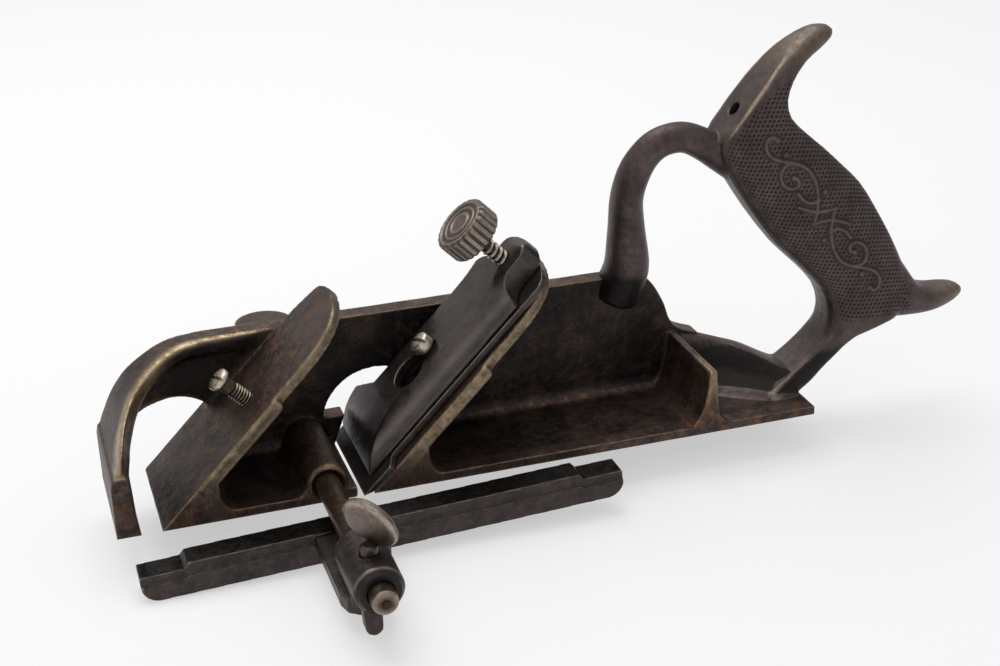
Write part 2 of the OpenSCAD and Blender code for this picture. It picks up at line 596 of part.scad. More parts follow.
// Front view of the bar: rounded lower corners and both ends stepped down
module bar_outline(top, step) {
    x1 = bar_x0 + fence_l;
    bottom = fence_top - fence_h;
    r = 5;
    polygon(concat([for (t = [180:15:270]) [bar_x0 + r + r * cos(t), bottom + r + r * sin(t)]],
        [for (t = [270:15:360]) [x1 - r + r * cos(t), bottom + r + r * sin(t)]],
        [[x1, top - step], [x1 - end_step, top - step], [x1 - end_step - 1.5, top]],
        [[bar_x0 + end_step + 1.5, top], [bar_x0 + end_step, top - step], [bar_x0, top - step]]));
}
module fence() color("#35312c") on_rod() difference() {
    union() {
        side(bar_y0, bar_y1) bar_outline(fence_top - 3.4, 0.8);
        side(bar_y0 + 1, bar_y1) bar_outline(fence_top, fence_low);
        translate([0, 0, fence_top - 4.9]) linear_extrude(arm_t) polygon([[-8.2, bar_y0 + 2], [-8.2, boss_y0 + 15],
            [-7, boss_y0 + 11], [-4, boss_y0 + 8.6], [4.2, boss_y0 + 8.6], [6.4, boss_y0 + 12], [7.6, boss_y0 + 20],
            [arm_w - 7.2, bar_y0 - 6], [arm_w - 6.2, bar_y0 + 2]]);
        side(boss_y0 + 2, boss_y0 + boss_l) circle(r = boss_r);
        side(boss_y0 + 9, boss_y0 + boss_l - 1) hull() {
            circle(r = boss_r - 0.1);
            translate([-6, fence_top - 1]) square([12, 1]);
        }
        translate([0, boss_y0 + 2.01, 0]) rotate([90, 0, 0]) cylinder(r1 = boss_r, r2 = boss_r - 1.4, h = 2);
        translate([0, boss_y0 + boss_l - 0.01, 0]) rotate([-90, 0, 0]) cylinder(r1 = boss_r, r2 = rod_r + 0.8, h = 5);
        side(boss_y0 + 2, boss_y0 + 6) hull() {
            translate([-4.8, fence_top + 1]) square([5.2, 1]);
            translate([-2.2, fence_top - fence_h + 4.4]) circle(r = 2.4, $fn = 32);
        }
    }
    translate([0, 5, 0]) rotate([90, 0, 0]) cylinder(r = rod_r + fit, h = rod_out + 20);
    translate([0, boss_mid, 0]) cylinder(r = thumb_r + fit, h = 30, $fn = 48);
}

// Thumb screw with a flat round disc on edge: a shank from z0 to its seat at 0, a collar and the disc
module thumb_screw(z0, r) {
    rotate_extrude() polygon([[0, z0], [thumb_r - 0.5, z0], [thumb_r, z0 + 0.5], [thumb_r, seat], [thumb_r + 1.2, seat],
        [thumb_r + 1.2, seat + 1], [thumb_r - 0.2, seat + 2.2], [0, seat + 2.2]]);
    intersection() {
        translate([0, disc_t / 2, disc_rise]) rotate([90, 0, 0]) cylinder(r = r, h = disc_t);
        translate([-r, -r, seat + 1]) cube([2 * r, 2 * r, 2 * r + disc_rise]);
    }
}
module fence_thumb_screw() color("#a39c92") on_rod() translate([0, boss_mid, boss_r])
    rotate([0, 0, -fence_disc_turn]) thumb_screw(rod_r - boss_r + seat, fence_disc_r);

// Slotted plate on the outside of the wall, with a foot that stands out over the work
module depth_stop() color(iron_color) place() difference() {
    union() {
        side(sole_w + seat, sole_w + seat + stop_t) hull() {
            translate([stop_x - stop_w / 2, stop_set]) square([stop_w, 1]);
            translate([stop_x, stop_screw_z - stop_end_down]) circle(d = stop_w, $fn = 48);
        }
        translate([stop_x - stop_foot_l / 2, sole_w + seat, stop_set]) cube([stop_foot_l, stop_foot_w, 3]);
        translate([stop_x - 1.5, sole_w + seat + stop_t, stop_set + 3]) rotate([90, 0, 90])
            linear_extrude(3) translate([-eps, -eps]) polygon([[0, 0], [5, 0], [0, 5]]);
    }
    side(sole_w - 10, sole_w + 10) hull() for (z = [stop_screw_z - stop_slot, stop_screw_z])
        translate([stop_x, z]) circle(r = thumb_r + fit, $fn = 32);
}
module depth_stop_screw() color("#a39c92") place() translate([stop_x, sole_w + seat + stop_t, stop_screw_z])
    rotate([-90, 0, 0]) thumb_screw(-seat - stop_t - wall_t, disc_r);

body_casting();
handle();
cutting_iron();
lever_cap();
main_cap_screw();
front_cap_screw();
cap_thumb_screw();
fence_rod();
fence();
fence_thumb_screw();
depth_stop();
depth_stop_screw();
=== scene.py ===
"""Finished look of an old cast-iron rabbet plane with its bar fence and depth stop.

The castings are merged copies of their CAD solids, remeshed so that every edge is rounded by wear, and
carry three masks per vertex: rubbed edges, with a few painted highlights, hollows darkened as grime and as
painted shade, and what is left of the black japanning.
The turned pieces are modelled from primitives. All lengths are in metres, in the frame of the CAD model.
"""
import logging
import math
from collections.abc import Callable
from dataclasses import dataclass, field
from enum import Enum

import bmesh
import bpy
import numpy as np
from mathutils import Matrix, Vector


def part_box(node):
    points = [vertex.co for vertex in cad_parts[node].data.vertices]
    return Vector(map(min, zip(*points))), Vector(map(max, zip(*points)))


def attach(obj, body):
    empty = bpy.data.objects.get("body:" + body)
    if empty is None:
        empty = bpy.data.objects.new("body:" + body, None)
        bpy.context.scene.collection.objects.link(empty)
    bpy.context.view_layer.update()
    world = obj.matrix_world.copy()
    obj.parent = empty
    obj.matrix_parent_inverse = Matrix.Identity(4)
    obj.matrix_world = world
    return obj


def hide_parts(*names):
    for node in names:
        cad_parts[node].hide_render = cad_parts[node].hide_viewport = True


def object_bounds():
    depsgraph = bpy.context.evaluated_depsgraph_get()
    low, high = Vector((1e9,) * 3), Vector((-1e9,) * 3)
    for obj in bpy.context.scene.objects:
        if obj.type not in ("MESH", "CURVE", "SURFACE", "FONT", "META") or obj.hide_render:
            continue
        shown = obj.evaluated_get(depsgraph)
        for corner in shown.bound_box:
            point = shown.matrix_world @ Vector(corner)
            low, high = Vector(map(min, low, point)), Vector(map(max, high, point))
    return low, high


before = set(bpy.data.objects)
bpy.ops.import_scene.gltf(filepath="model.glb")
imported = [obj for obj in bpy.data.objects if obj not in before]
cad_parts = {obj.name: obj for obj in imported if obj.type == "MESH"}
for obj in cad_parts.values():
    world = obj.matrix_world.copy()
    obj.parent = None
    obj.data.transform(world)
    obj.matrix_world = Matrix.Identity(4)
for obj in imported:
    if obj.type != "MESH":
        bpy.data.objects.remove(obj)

LOG = logging.getLogger("plane")
MM = 0.001
CAD_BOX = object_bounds()
HEEL_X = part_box("body_casting")[1].x
# Directions: up and off the beds, across the sole, and those that the masks compare normals with
BED_UP = Vector((1, 0, 1)).normalized()
BED_OUT = Vector((-1, 0, 1)).normalized()
ACROSS = Vector((0, 1, 0))
OFF_BED = np.array([-0.707, 0, 0.707])
GRIP_BACK = np.array([0.866, 0, 0.5])
FACET_OUT = np.array([-0.766, 0, 0.643])
# How meshes are merged, thinned, smoothed to find their edges and hollows, and shaded
MERGE_GAP = 1e-6
MOST_TRIANGLES = 195_000
NEAR_ROUNDS = 5
FAR_ROUNDS = 45
SHADE_ANGLE = math.radians(38)


class Slot(Enum):
    """Material slots of the record that the pieces carry, which nothing in this script reads."""

    CASTING = "patinated_casting"
    FENCE = "japanned_casting"
    TOOL = "tool_steel"
    SCREW = "screw_steel"
    PLATED = "plated_steel"


def linear(code: str) -> tuple[float, float, float, float]:
    """Turns an sRGB hex colour into the linear colour that the shaders take.

    Args:
        code: Colour such as "#4b423d".

    Returns:
        Red, green and blue from 0 to 1 and an alpha of 1.
    """
    parts = [int(code[i:i + 2], 16) / 255 for i in (1, 3, 5)]
    red, green, blue = (c / 12.92 if c <= 0.04045 else ((c + 0.055) / 1.055) ** 2.4 for c in parts)
    return red, green, blue, 1.0


def add(tree: bpy.types.NodeTree, kind: str, sockets: dict | None = None,
        **settings: object) -> bpy.types.Node:
    """Adds one node to a tree, with its settings and with its sockets set or linked.

    Args:
        tree: Node tree of a material or of the world.
        kind: Type of the node, such as "ShaderNodeTexNoise".
        sockets: Value or output socket for each input, by its name or number.
        **settings: Properties of the node itself.

    Returns:
        The new node.
    """
    node = tree.nodes.new(kind)
    for name, value in settings.items():
        setattr(node, name, value)
    for name, value in (sockets or {}).items():
        if isinstance(value, bpy.types.NodeSocket):
            tree.links.new(value, node.inputs[name])
        else:
            node.inputs[name].default_value = value
    return node


def noise(tree: bpy.types.NodeTree, place: bpy.types.NodeSocket, scale: float, detail: float,
          roughness: float, distortion: float = 0.0) -> bpy.types.NodeSocket:
    """Adds a noise texture.

    Args:
        tree: Node tree of a material.
        place: Coordinates.
        scale: Patches to the metre.
        detail: Number of octaves.
        roughness: Strength of each octave beside the one before.
        distortion: How far the pattern is bent.

    Returns:
        The noise, from 0 to 1.
    """
    return add(tree, "ShaderNodeTexNoise", {"Vector": place, "Scale": scale, "Detail": detail,
                                            "Roughness": roughness, "Distortion": distortion}).outputs["Fac"]


def ramp(tree: bpy.types.NodeTree, value: bpy.types.NodeSocket, low: float, high: float,
         to_low: float = 0.0, to_high: float = 1.0) -> bpy.types.NodeSocket:
    """Adds a node that ramps a value from one end to another and holds it there.

    Args:
        tree: Node tree of a material or of the world.
        value: Value to read.
        low: Value that gives the first end.
        high: Value that gives the second end.
        to_low: First end.
        to_high: Second end.

    Returns:
        The ramped value.
    """
    return add(tree, "ShaderNodeMapRange", {"Value": value, "From Min": low, "From Max": high,
                                            "To Min": to_low, "To Max": to_high}).outputs[0]


def maths(tree: bpy.types.NodeTree, operation: str, *values: float | bpy.types.NodeSocket,
          clamp: bool = False) -> bpy.types.NodeSocket:
    """Adds a maths node.

    Args:
        tree: Node tree of a material or of the world.
        operation: Its operation, such as "MAXIMUM".
        *values: Values or sockets, in the order of its inputs.
        clamp: Whether the result is held between 0 and 1.

    Returns:
        The result.
    """
    return add(tree, "ShaderNodeMath", dict(enumerate(values)), operation=operation,
               use_clamp=clamp).outputs[0]


def blend(tree: bpy.types.NodeTree, share: float | bpy.types.NodeSocket, below: object, above: object,
          how: str = "MIX") -> bpy.types.NodeSocket:
    """Adds a node that lays one colour over another.

    Args:
        tree: Node tree of a material.
        share: Share of the upper colour.
        below: Lower colour or its socket.
        above: Upper colour or its socket.
        how: Way of blending.

    Returns:
        The mixed colour.
    """
    return add(tree, "ShaderNodeMix", {"Factor": share, 6: below, 7: above}, data_type="RGBA",
               blend_type=how).outputs[2]


@dataclass(frozen=True)
class WornMetal:
    """Iron or steel that a century of handling has browned and rubbed at its edges, darkened in its hollows
    by grime and painted shade.

    A metal with a thin skin of oxide: mostly metallic, half rough, with patches of a second tone that
    follow the casting or forging, a dark colour in the corners that stands for dirt and for painted shade,
    and bare metal on the edges, which on a few pieces is a painted highlight.

    Attributes:
        name: Name of the material.
        skin: Colour of the oxide.
        patches: Colour of its second tone.
        grime_and_shade: Colour of the dirt and of the painted shade in the hollows.
        rubbed: Colour of the bare edges.
        stain: Colour of the rust.
        coat: Colour of the paint that is left.
        stain_gain: Most that the rust covers.
        mottle: How far the flecks lighten and darken the skin.
        metallic: How metallic it is.
        rough: Roughness of the skin.
        rubbed_rough: Roughness of the bare edges.
        coat_rough: Roughness of the paint.
        patch_size: Size of the blotches.
        grain: Size of the fine grain.
        grain_depth: Its depth.
        pit: Size of the flecks and pits.
        pit_depth: Depth of the pits.
        chipping: How raggedly the paint ends.
        most_grime_and_shade: Most that the dirt and the painted shade cover.
    """

    name: str
    skin: str
    patches: str
    grime_and_shade: str
    rubbed: str
    stain: str = "#4a3a2f"
    coat: str = "#211d1c"
    stain_gain: float = 0.7
    mottle: float = 0.36
    metallic: float = 0.75
    rough: float = 0.5
    rubbed_rough: float = 0.34
    coat_rough: float = 0.42
    patch_size: float = 9 * MM
    grain: float = 0.55 * MM
    grain_depth: float = 0.05 * MM
    pit: float = 2.2 * MM
    pit_depth: float = 0.1 * MM
    chipping: float = 0.62
    most_grime_and_shade: float = 0.92

    def material(self) -> bpy.types.Material:
        """Builds the procedural material of this finish.

        Returns:
            The new material.
        """
        material = bpy.data.materials.new(self.name)
        material.use_nodes = True
        tree = material.node_tree
        tree.nodes.clear()
        place = add(tree, "ShaderNodeTexCoord").outputs["Object"]
        masks = add(tree, "ShaderNodeAttribute", attribute_name="wear")
        split = add(tree, "ShaderNodeSeparateColor", {"Color": masks.outputs["Color"]})
        edge, hollow, coat = (split.outputs[i] for i in ("Red", "Green", "Blue"))
        blotch = noise(tree, place, 1 / self.patch_size, 7.0, 0.62)
        fleck = noise(tree, place, 1 / self.pit, 5.0, 0.7)
        grain = noise(tree, place, 1 / self.grain, 3.0, 0.6)
        rust = noise(tree, place, 2.3 / self.patch_size, 8.0, 0.68, 0.5)
        ragged = maths(tree, "ADD", blotch, fleck)

        body = blend(tree, ramp(tree, blotch, 0.42, 0.6), linear(self.skin), linear(self.patches))
        body = blend(tree, ramp(tree, rust, 0.5, 0.62, 0.0, self.stain_gain), body, linear(self.stain))
        speck = ramp(tree, fleck, 0.3, 0.7, 1 - self.mottle, 1 + self.mottle)
        body = blend(tree, 1.0, body, speck, "MULTIPLY")

        chipped = maths(tree, "MULTIPLY_ADD", ragged, self.chipping, -self.chipping)
        painted = ramp(tree, maths(tree, "ADD", coat, chipped), 0.4, 0.64)
        body = blend(tree, painted, body, linear(self.coat))
        # Hollows darken towards the grime colour, which stands for dirt and for painted shade
        body = blend(tree, maths(tree, "MINIMUM", hollow, self.most_grime_and_shade), body, linear(self.grime_and_shade))
        patchy = ramp(tree, ragged, 0.75, 1.2, 0.35, 1.25)
        # Edges brighten towards the rubbed colour: worn metal, and on the fence ring and the rod's end a
        # painted highlight
        rub_and_highlight = maths(tree, "MULTIPLY", edge, patchy, clamp=True)
        body = blend(tree, rub_and_highlight, body, linear(self.rubbed))

        rough = ramp(tree, fleck, 0.3, 0.7, self.rough - 0.08, self.rough + 0.1)
        rough = add(tree, "ShaderNodeMix", {0: painted, 2: rough, 3: self.coat_rough}).outputs[0]
        rough = add(tree, "ShaderNodeMix", {0: rub_and_highlight, 2: rough, 3: self.rubbed_rough}).outputs[0]
        pits = ramp(tree, fleck, 0.28, 0.5)
        low = add(tree, "ShaderNodeBump", {"Height": pits, "Distance": self.pit_depth, "Strength": 0.8})
        bump = add(tree, "ShaderNodeBump", {"Height": grain, "Distance": self.grain_depth, "Strength": 0.8,
                                            "Normal": low.outputs[0]})
        shader = add(tree, "ShaderNodeBsdfPrincipled", {"Base Color": body, "Metallic": self.metallic,
                                                        "Roughness": rough, "Normal": bump.outputs[0]})
        add(tree, "ShaderNodeOutputMaterial", {"Surface": shader.outputs[0]})
        return material


# Grey iron cast in sand: brown oxide over dark grey, black paint left in the pockets, edges like old brass
CAST_IRON = WornMetal("patinated_cast_iron", skin="#4d403b", patches="#382e2b", stain="#694b35",
                      grime_and_shade="#1a1615", rubbed="#bba684", stain_gain=0.8, mottle=0.5, rough=0.45,
                      pit_depth=0.18 * MM)
# The same iron on the grip, polished by the palm and black in the pits of the checkering
GRIP_IRON = WornMetal("handled_cast_iron", skin="#544947", patches="#433a39", stain="#54443a",
                      grime_and_shade="#1a1717", rubbed="#b39f86", stain_gain=0.5, mottle=0.3, rough=0.4)
# Fence casting under more of its black paint, with thin rubbed ridges; its rubbed colour also paints a
# highlight on the ring round the rod
FENCE_IRON = WornMetal("japanned_cast_iron", skin="#453e3c", patches="#35302f", stain="#4d3f36",
                       grime_and_shade="#161414", rubbed="#a39583", rough=0.42, coat_rough=0.3)
# Forged tool steel, oxidised dark and fine grained, with bright ground edges
TOOL_STEEL = WornMetal("oxidised_tool_steel", skin="#4d4745", patches="#403a38", grime_and_shade="#171514",
                       rubbed="#b5ab9c", stain_gain=0.5, rough=0.38, grain=0.3 * MM, grain_depth=0.02 * MM,
                       pit_depth=0.04 * MM)
# Lever cap: fine smooth casting, polished under a thin blue-grey oxide that shines in soft bands
CAP_IRON = WornMetal("smooth_oxidised_iron", skin="#524c49", patches="#464241", stain="#50423a",
                     grime_and_shade="#1d1a1a", rubbed="#c4bbae", stain_gain=0.6, mottle=0.22, metallic=0.85,
                     rough=0.32, grain=0.3 * MM, grain_depth=0.012 * MM, pit_depth=0.02 * MM)
# Turned mild steel of the screws, yellowed and worn bright on the crests
SCREW_STEEL = WornMetal("worn_screw_steel", skin="#8b7f70", patches="#6b5f53", stain="#5a4838",
                        grime_and_shade="#211c17", rubbed="#d9cfbe", mottle=0.25, metallic=0.9, rough=0.33,
                        patch_size=2.5 * MM, pit=0.9 * MM, grain=0.25 * MM, grain_depth=0.012 * MM,
                        pit_depth=0.02 * MM)
# Dull nickel plate of the thumb discs and the knurled knob; its grime colour also paints the shade on the
# stop screw's faces and on the fence screw's stem
PLATED_STEEL = WornMetal("dull_plated_steel", skin="#75685f", patches="#64574f", stain="#5c4a3e",
                         grime_and_shade="#2a2420", rubbed="#cdc2b5", mottle=0.24, metallic=0.85, rough=0.38,
                         patch_size=3 * MM, pit=0.8 * MM, grain=0.25 * MM, grain_depth=0.012 * MM,
                         pit_depth=0.02 * MM)
# Drawn steel rod, browned by rust along its length; its end has a rubbed pale ring and a dark middle that
# also stand for a painted reflection on the polished dome
ROD_STEEL = WornMetal("browned_rod_steel", skin="#5a4b41", patches="#65503f", stain="#6b4f3a",
                      grime_and_shade="#1b1714", rubbed="#b5a99a", rough=0.38, patch_size=5 * MM,
                      grain=0.4 * MM, grain_depth=0.015 * MM, pit_depth=0.03 * MM)


def select(piece: bpy.types.Object) -> None:
    """Makes one object the only selected and the active one.

    Args:
        piece: The object.
    """
    bpy.ops.object.select_all(action="DESELECT")
    piece.select_set(True)
    bpy.context.view_layer.objects.active = piece


def finish_with(piece: bpy.types.Object, kind: str, **settings: object) -> None:
    """Adds a modifier to a piece and applies it.

    Args:
        piece: Mesh object.
        kind: Type of the modifier, such as "BEVEL".
        **settings: Properties of the modifier.
    """
    modifier = piece.modifiers.new(kind.title(), kind)
    for name, value in settings.items():
        setattr(modifier, name, value)
    select(piece)
    bpy.ops.object.modifier_apply(modifier=modifier.name)


def merged_copy(name: str, nodes: tuple[str, ...]) -> bpy.types.Object:
    """Copies CAD nodes into one new object with their loose triangles merged.

    Args:
        name: Name of the new object.
        nodes: CAD nodes to copy.

    Returns:
        The new object.
    """
    shape = bmesh.new()
    for node in nodes:
        shape.from_mesh(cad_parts[node].data)
    bmesh.ops.remove_doubles(shape, verts=shape.verts, dist=MERGE_GAP)
    mesh = bpy.data.meshes.new(name)
    shape.to_mesh(mesh)
    shape.free()
    piece = bpy.data.objects.new(name, mesh)
    bpy.context.scene.collection.objects.link(piece)
    return piece


def rows(items: bpy.types.bpy_prop_collection, name: str, width: int, kind: type = float) -> np.ndarray:
    """Reads one property of every item of a mesh.

    Args:
        items: Vertices, normals or edges of the mesh.
        name: Name of the property.
        width: How many values it has.
        kind: Type of the values.

    Returns:
        An array with one row for each item.
    """
    flat = np.empty(len(items) * width, dtype=kind)
    items.foreach_get(name, flat)
    return flat.reshape(-1, width)


def points_of(mesh: bpy.types.Mesh) -> np.ndarray:
    """Returns the vertices of a mesh as rows x, y, z."""
    return rows(mesh.vertices, "co", 3)


def normals_of(mesh: bpy.types.Mesh) -> np.ndarray:
    """Returns the vertex normals of a mesh as rows x, y, z."""
    return rows(mesh.vertex_normals, "vector", 3)


def edges_of(mesh: bpy.types.Mesh) -> np.ndarray:
    """Returns the edges of a mesh as pairs of vertices."""
    return rows(mesh.edges, "vertices", 2, np.int64)


def move_points(mesh: bpy.types.Mesh, points: np.ndarray) -> None:
    """Puts the vertices of a mesh at new places."""
    mesh.vertices.foreach_set("co", points.ravel())
    mesh.update()


def relaxed(points: np.ndarray, edges: np.ndarray, rounds: int) -> np.ndarray:
    """Smooths points by moving each one half way to the mean of its neighbours, several times.

    Args:
        points: Places, one row each.
        edges: Pairs of neighbours, one row each.
        rounds: How many times.

    Returns:
        The smoothed places.
    """
    count = np.maximum(np.bincount(edges.ravel(), minlength=len(points)), 1)
    for _ in range(rounds):
        total = np.stack([np.bincount(edges[:, 0], points[edges[:, 1], k], len(points))
                          + np.bincount(edges[:, 1], points[edges[:, 0], k], len(points))
                          for k in range(3)], axis=1)
        points = 0.5 * points + 0.5 * total / count[:, None]
    return points


def band(values: np.ndarray, low: float, high: float) -> np.ndarray:
    """Ramps values from 0 at low to 1 at high, smoothly, also where low is above high."""
    t = np.clip((values - low) / (high - low), 0, 1)
    return t * t * (3 - 2 * t)


@dataclass
class Surface:
    """What casting, wear, dirt and painted light leave on a piece, with one value for each vertex.

    Attributes:
        height: How far the surface stands out, in metres.
        coat: Share of black paint left.
        worn: Share to which wide edges are polished by use.
        bare_and_highlight: Share of bare metal away from the edges, and of painted highlight.
        dirt_and_shade: Share of dirt and of painted shade away from the hollows.
        matt: Share to which the edges are not rubbed.
        soft: Share to which the surface is rounded off before all this.
    """

    height: np.ndarray
    coat: np.ndarray
    worn: np.ndarray
    bare_and_highlight: np.ndarray
    dirt_and_shade: np.ndarray
    matt: np.ndarray
    soft: np.ndarray

    @staticmethod
    def plain(points: np.ndarray) -> "Surface":
        """Returns the surface of a plain casting, with gentle waves and nothing else."""
        none = np.zeros(len(points))
        x, y, z = points.T
        wave = np.sin(x * 410 + z * 260) * np.sin(y * 520 + z * 330)
        return Surface(wave * 0.03 * MM, none, none, none, none, none, none)


def write_masks(mesh: bpy.types.Mesh, edge: np.ndarray, hollow: np.ndarray, coat: np.ndarray) -> None:
    """Writes the masks that the finishes read.

    Args:
        mesh: Mesh of the piece.
        edge: How far each vertex is made bright: rubbed metal, and on a few pieces a painted highlight.
        hollow: How far it is darkened, as grime and as painted shade.
        coat: How much paint is left on it.
    """
    masks = np.stack([edge, hollow, coat, np.ones(len(edge))], axis=1)
    layer = mesh.attributes.new("wear", "FLOAT_COLOR", "POINT")
    layer.data.foreach_set("color", masks.ravel())


def store_wear_and_shade(mesh: bpy.types.Mesh, edges: np.ndarray, surface: Surface) -> None:
    """Finds where an even mesh is rubbed and where it is darkened as grime and painted shade, and writes it
    with what the surface adds.

    An edge is where the surface stands out of its own smoothed shape, a hollow is where it lies within
    a much smoother one. Both are measured in edge lengths of the even mesh that the remesh leaves.

    Args:
        mesh: Even, dense mesh.
        edges: Its edges.
        surface: What is known of its surface.
    """
    points = points_of(mesh)
    normals = normals_of(mesh)
    step = float(np.median(np.linalg.norm(points[edges[:, 0]] - points[edges[:, 1]], axis=1)))
    near, far = (((points - relaxed(points, edges, rounds)) * normals).sum(1) / step
                 for rounds in (NEAR_ROUNDS, FAR_ROUNDS))
    edge = np.maximum(0.85 * band(near, 0.2, 0.5), surface.worn * band(far, 0.3, 0.95)) * (1 - surface.matt)
    # Hollows are darkened as grime and as painted shade
    write_masks(mesh, np.maximum(edge, surface.bare_and_highlight), np.maximum(band(far, -0.25, -2.2), surface.dirt_and_shade),
                surface.coat)


@dataclass
class CastPiece:
    """A casting or forging that takes its shape from its CAD solids.

    Attributes:
        name: Name of the new piece.
        nodes: CAD nodes that it stands for.
        body: Body that it moves with.
        slot: Material slot of the record.
        look: Finish.
        voxel: Size of the even mesh that it is modelled on.
        rounding: Rounds of smoothing, which wear the edges.
        softening: Rounds of the further smoothing of the soft parts of its surface.
        triangles: Most triangles of the finished mesh.
    """

    name: str
    nodes: tuple[str, ...]
    body: str
    slot: Slot
    look: WornMetal
    voxel: float
    rounding: int = 2
    softening: int = 0
    triangles: int = 120_000

    def surface(self, points: np.ndarray, normals: np.ndarray) -> Surface:
        """Describes the surface at each point; a plain casting has only gentle waves."""
        return Surface.plain(points)

    def build(self) -> bpy.types.Object:
        """Models the piece, dresses it and puts it in the place of its CAD nodes.

        Returns:
            The finished piece.
        """
        piece = merged_copy(self.name, self.nodes)
        finish_with(piece, "REMESH", mode="VOXEL", voxel_size=self.voxel, adaptivity=0.0)
        finish_with(piece, "SMOOTH", factor=0.5, iterations=self.rounding)
        mesh = piece.data
        edges = edges_of(mesh)
        points = points_of(mesh)
        surface = self.surface(points, normals_of(mesh))
        if self.softening:
            points = points + surface.soft[:, None] * (relaxed(points, edges, self.softening) - points)
            move_points(mesh, points)
        move_points(mesh, points + normals_of(mesh) * surface.height[:, None])
        store_wear_and_shade(mesh, edges, surface)
        faces = 2 * len(mesh.polygons)
        if faces > self.triangles:
            finish_with(piece, "DECIMATE", ratio=self.triangles / faces)
        piece.data.shade_smooth()
        return dressed(piece, self.look, self.slot, self.body, *self.nodes)


MATERIALS: dict[str, bpy.types.Material] = {}


def dressed(piece: bpy.types.Object, look: WornMetal, slot: Slot, body: str, *nodes: str) -> bpy.types.Object:
    """Gives a piece its finish, built once, and puts it in the place of its CAD nodes.

    Args:
        piece: Finished mesh object.
        look: Its finish.
        slot: Material slot of the record; not used.
        body: Body that it moves with.
        *nodes: CAD nodes that it stands for.

    Returns:
        The same piece.
    """
    if look.name not in MATERIALS:
        MATERIALS[look.name] = look.material()
    piece.data.materials.clear()
    piece.data.materials.append(MATERIALS[look.name])
    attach(piece, body)
    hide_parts(*nodes)
    return piece


@dataclass
class BodyCasting(CastPiece):
    """Body of the plane: black paint on the inner wall and under the beds, brassy rubbed edges.

    Attributes:
        bed_edges: Place along X at which each bed meets the sole, and how bright its rib is ground.
        rib_t: Thickness of the ground rib along each bed.
        strap_end: Place along X at which the strap leaves the wall.
        foot_top: Height of the foot under the strap.
        strap_edge: Open edge of the strap in plan, from the nose and from the open side, in millimetres.
    """

    bed_edges: tuple[tuple[float, float], ...] = ((-95.8 * MM, 0.06), (-34.6 * MM, 0.4))
    rib_t: float = 3.8 * MM
    strap_end: float = -54 * MM
    foot_top: float = 18.5 * MM
    strap_edge: tuple[tuple[float, float], ...] = ((3, 0), (4.3, 2), (6.8, 12), (11, 19.8), (17.9, 25.5),
                                                   (28.9, 30), (40, 31.2), (54, 32))

    def surface(self, points: np.ndarray, normals: np.ndarray) -> Surface:
        """Paints what looks towards the open side or down, and polishes the strap, ribs and bed edges.

        Args:
            points: Vertices of the even mesh.
            normals: Their normals.

        Returns:
            What is known of the surface.
        """
        low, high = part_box("body_casting")
        x, y, z = points.T
        surface = Surface.plain(points)
        facing = -normals[:, 1]
        strap = band(x, self.strap_end + 4 * MM, self.strap_end - 10 * MM)
        strap = strap * band(z, self.foot_top - 1 * MM, self.foot_top + 1 * MM)
        plan = np.stack([(x - low.x) / MM, (y - low.y) / MM], axis=1)
        from_edge = gap_to(plan, np.array(self.strap_edge))
        narrowing = band(x, self.strap_end - 4 * MM, self.strap_end - 36 * MM)
        before_bed = band((z - x + self.bed_edges[0][0]) / math.sqrt(2), 2 * MM, 4 * MM)
        rim = strap * before_bed * band(from_edge, 1.8 + 3 * narrowing, 0.8 + narrowing)
        nose = band(x, low.x + 24 * MM, low.x + 14 * MM)

        inside = band(y, low.y + 3 * MM, low.y + 6 * MM)
        under_bed = band(-normals[:, 2], 0.4, 0.7) * band(z, 2 * MM, 3 * MM)
        floor = 0.5 * band(normals[:, 2], 0.7, 0.95) * band(z, 8 * MM, 6 * MM)
        paint = np.clip(0.6 * band(facing, 0.5, 0.9) + 0.8 * under_bed + floor, 0, 1)
        surface.coat = inside * paint * (1 - rim * nose)
        surface.dirt_and_shade = 0.4 * strap * nose * band(from_edge, 4, 7) * band(from_edge, 17, 12)
        surface.soft = strap * band(from_edge, 7, 4)

        near_edge = band(y, low.y + 15 * MM, low.y + 9 * MM) * band(z, 8 * MM, 14 * MM)
        far_side = band(y, high.y - 9 * MM, high.y - 3 * MM)
        surface.worn = np.maximum(0.7 * strap * (0.4 + 0.6 * narrowing), 0.4 * near_edge)
        surface.worn = surface.worn * (1 - 0.7 * far_side)
        surface.matt = (band(x, low.x + 12 * MM, low.x + 10 * MM)
                        * band(z, self.foot_top + 0.5 * MM, self.foot_top))

        bright = [surface.bare_and_highlight]
        near_face = band(y, low.y + 1.2 * MM, low.y + 0.6 * MM) * band(facing, 0.6, 0.9)
        for edge, ground in self.bed_edges:
            along = (x - edge + z) / math.sqrt(2)
            off_bed = (z - x + edge) / math.sqrt(2)
            on_rib = band(off_bed, -self.rib_t - 0.4 * MM, -self.rib_t + 0.1 * MM)
            bright.append(ground * near_face * (on_rib * band(along, 6 * MM, 26 * MM)))
        outward = normals @ OFF_BED
        bright.append(0.7 * rim * np.maximum(band(outward, 0, 0.4), nose * band(outward, -1.1, -0.1)))
        bright.append(0.8 * band(np.abs(z - self.foot_top - 0.2 * MM), 0.6 * MM, 0.2 * MM)
                      * band(x, low.x + 7 * MM, low.x + 5 * MM) * band(y, low.y + 3.5 * MM, low.y + 1.5 * MM))
        bright.append(0.12 * band(z, high.z - 0.8 * MM, high.z - 0.2 * MM))
        surface.bare_and_highlight = np.maximum.reduce(bright)
        return surface


def gap_to(places: np.ndarray, line: np.ndarray) -> np.ndarray:
    """Measures how far places lie from a line through points.

    Args:
        places: Places, two columns.
        line: Points of the line, two columns.

    Returns:
        The distance of each place from the line.
    """
    nearest = np.full(len(places), np.inf)
    for a, b in zip(line, line[1:]):
        run = b - a
        share = np.clip(((places - a) @ run) / (run @ run), 0, 1)
        nearest = np.minimum(nearest, np.linalg.norm(places - a - share[:, None] * run, axis=1))
    return nearest


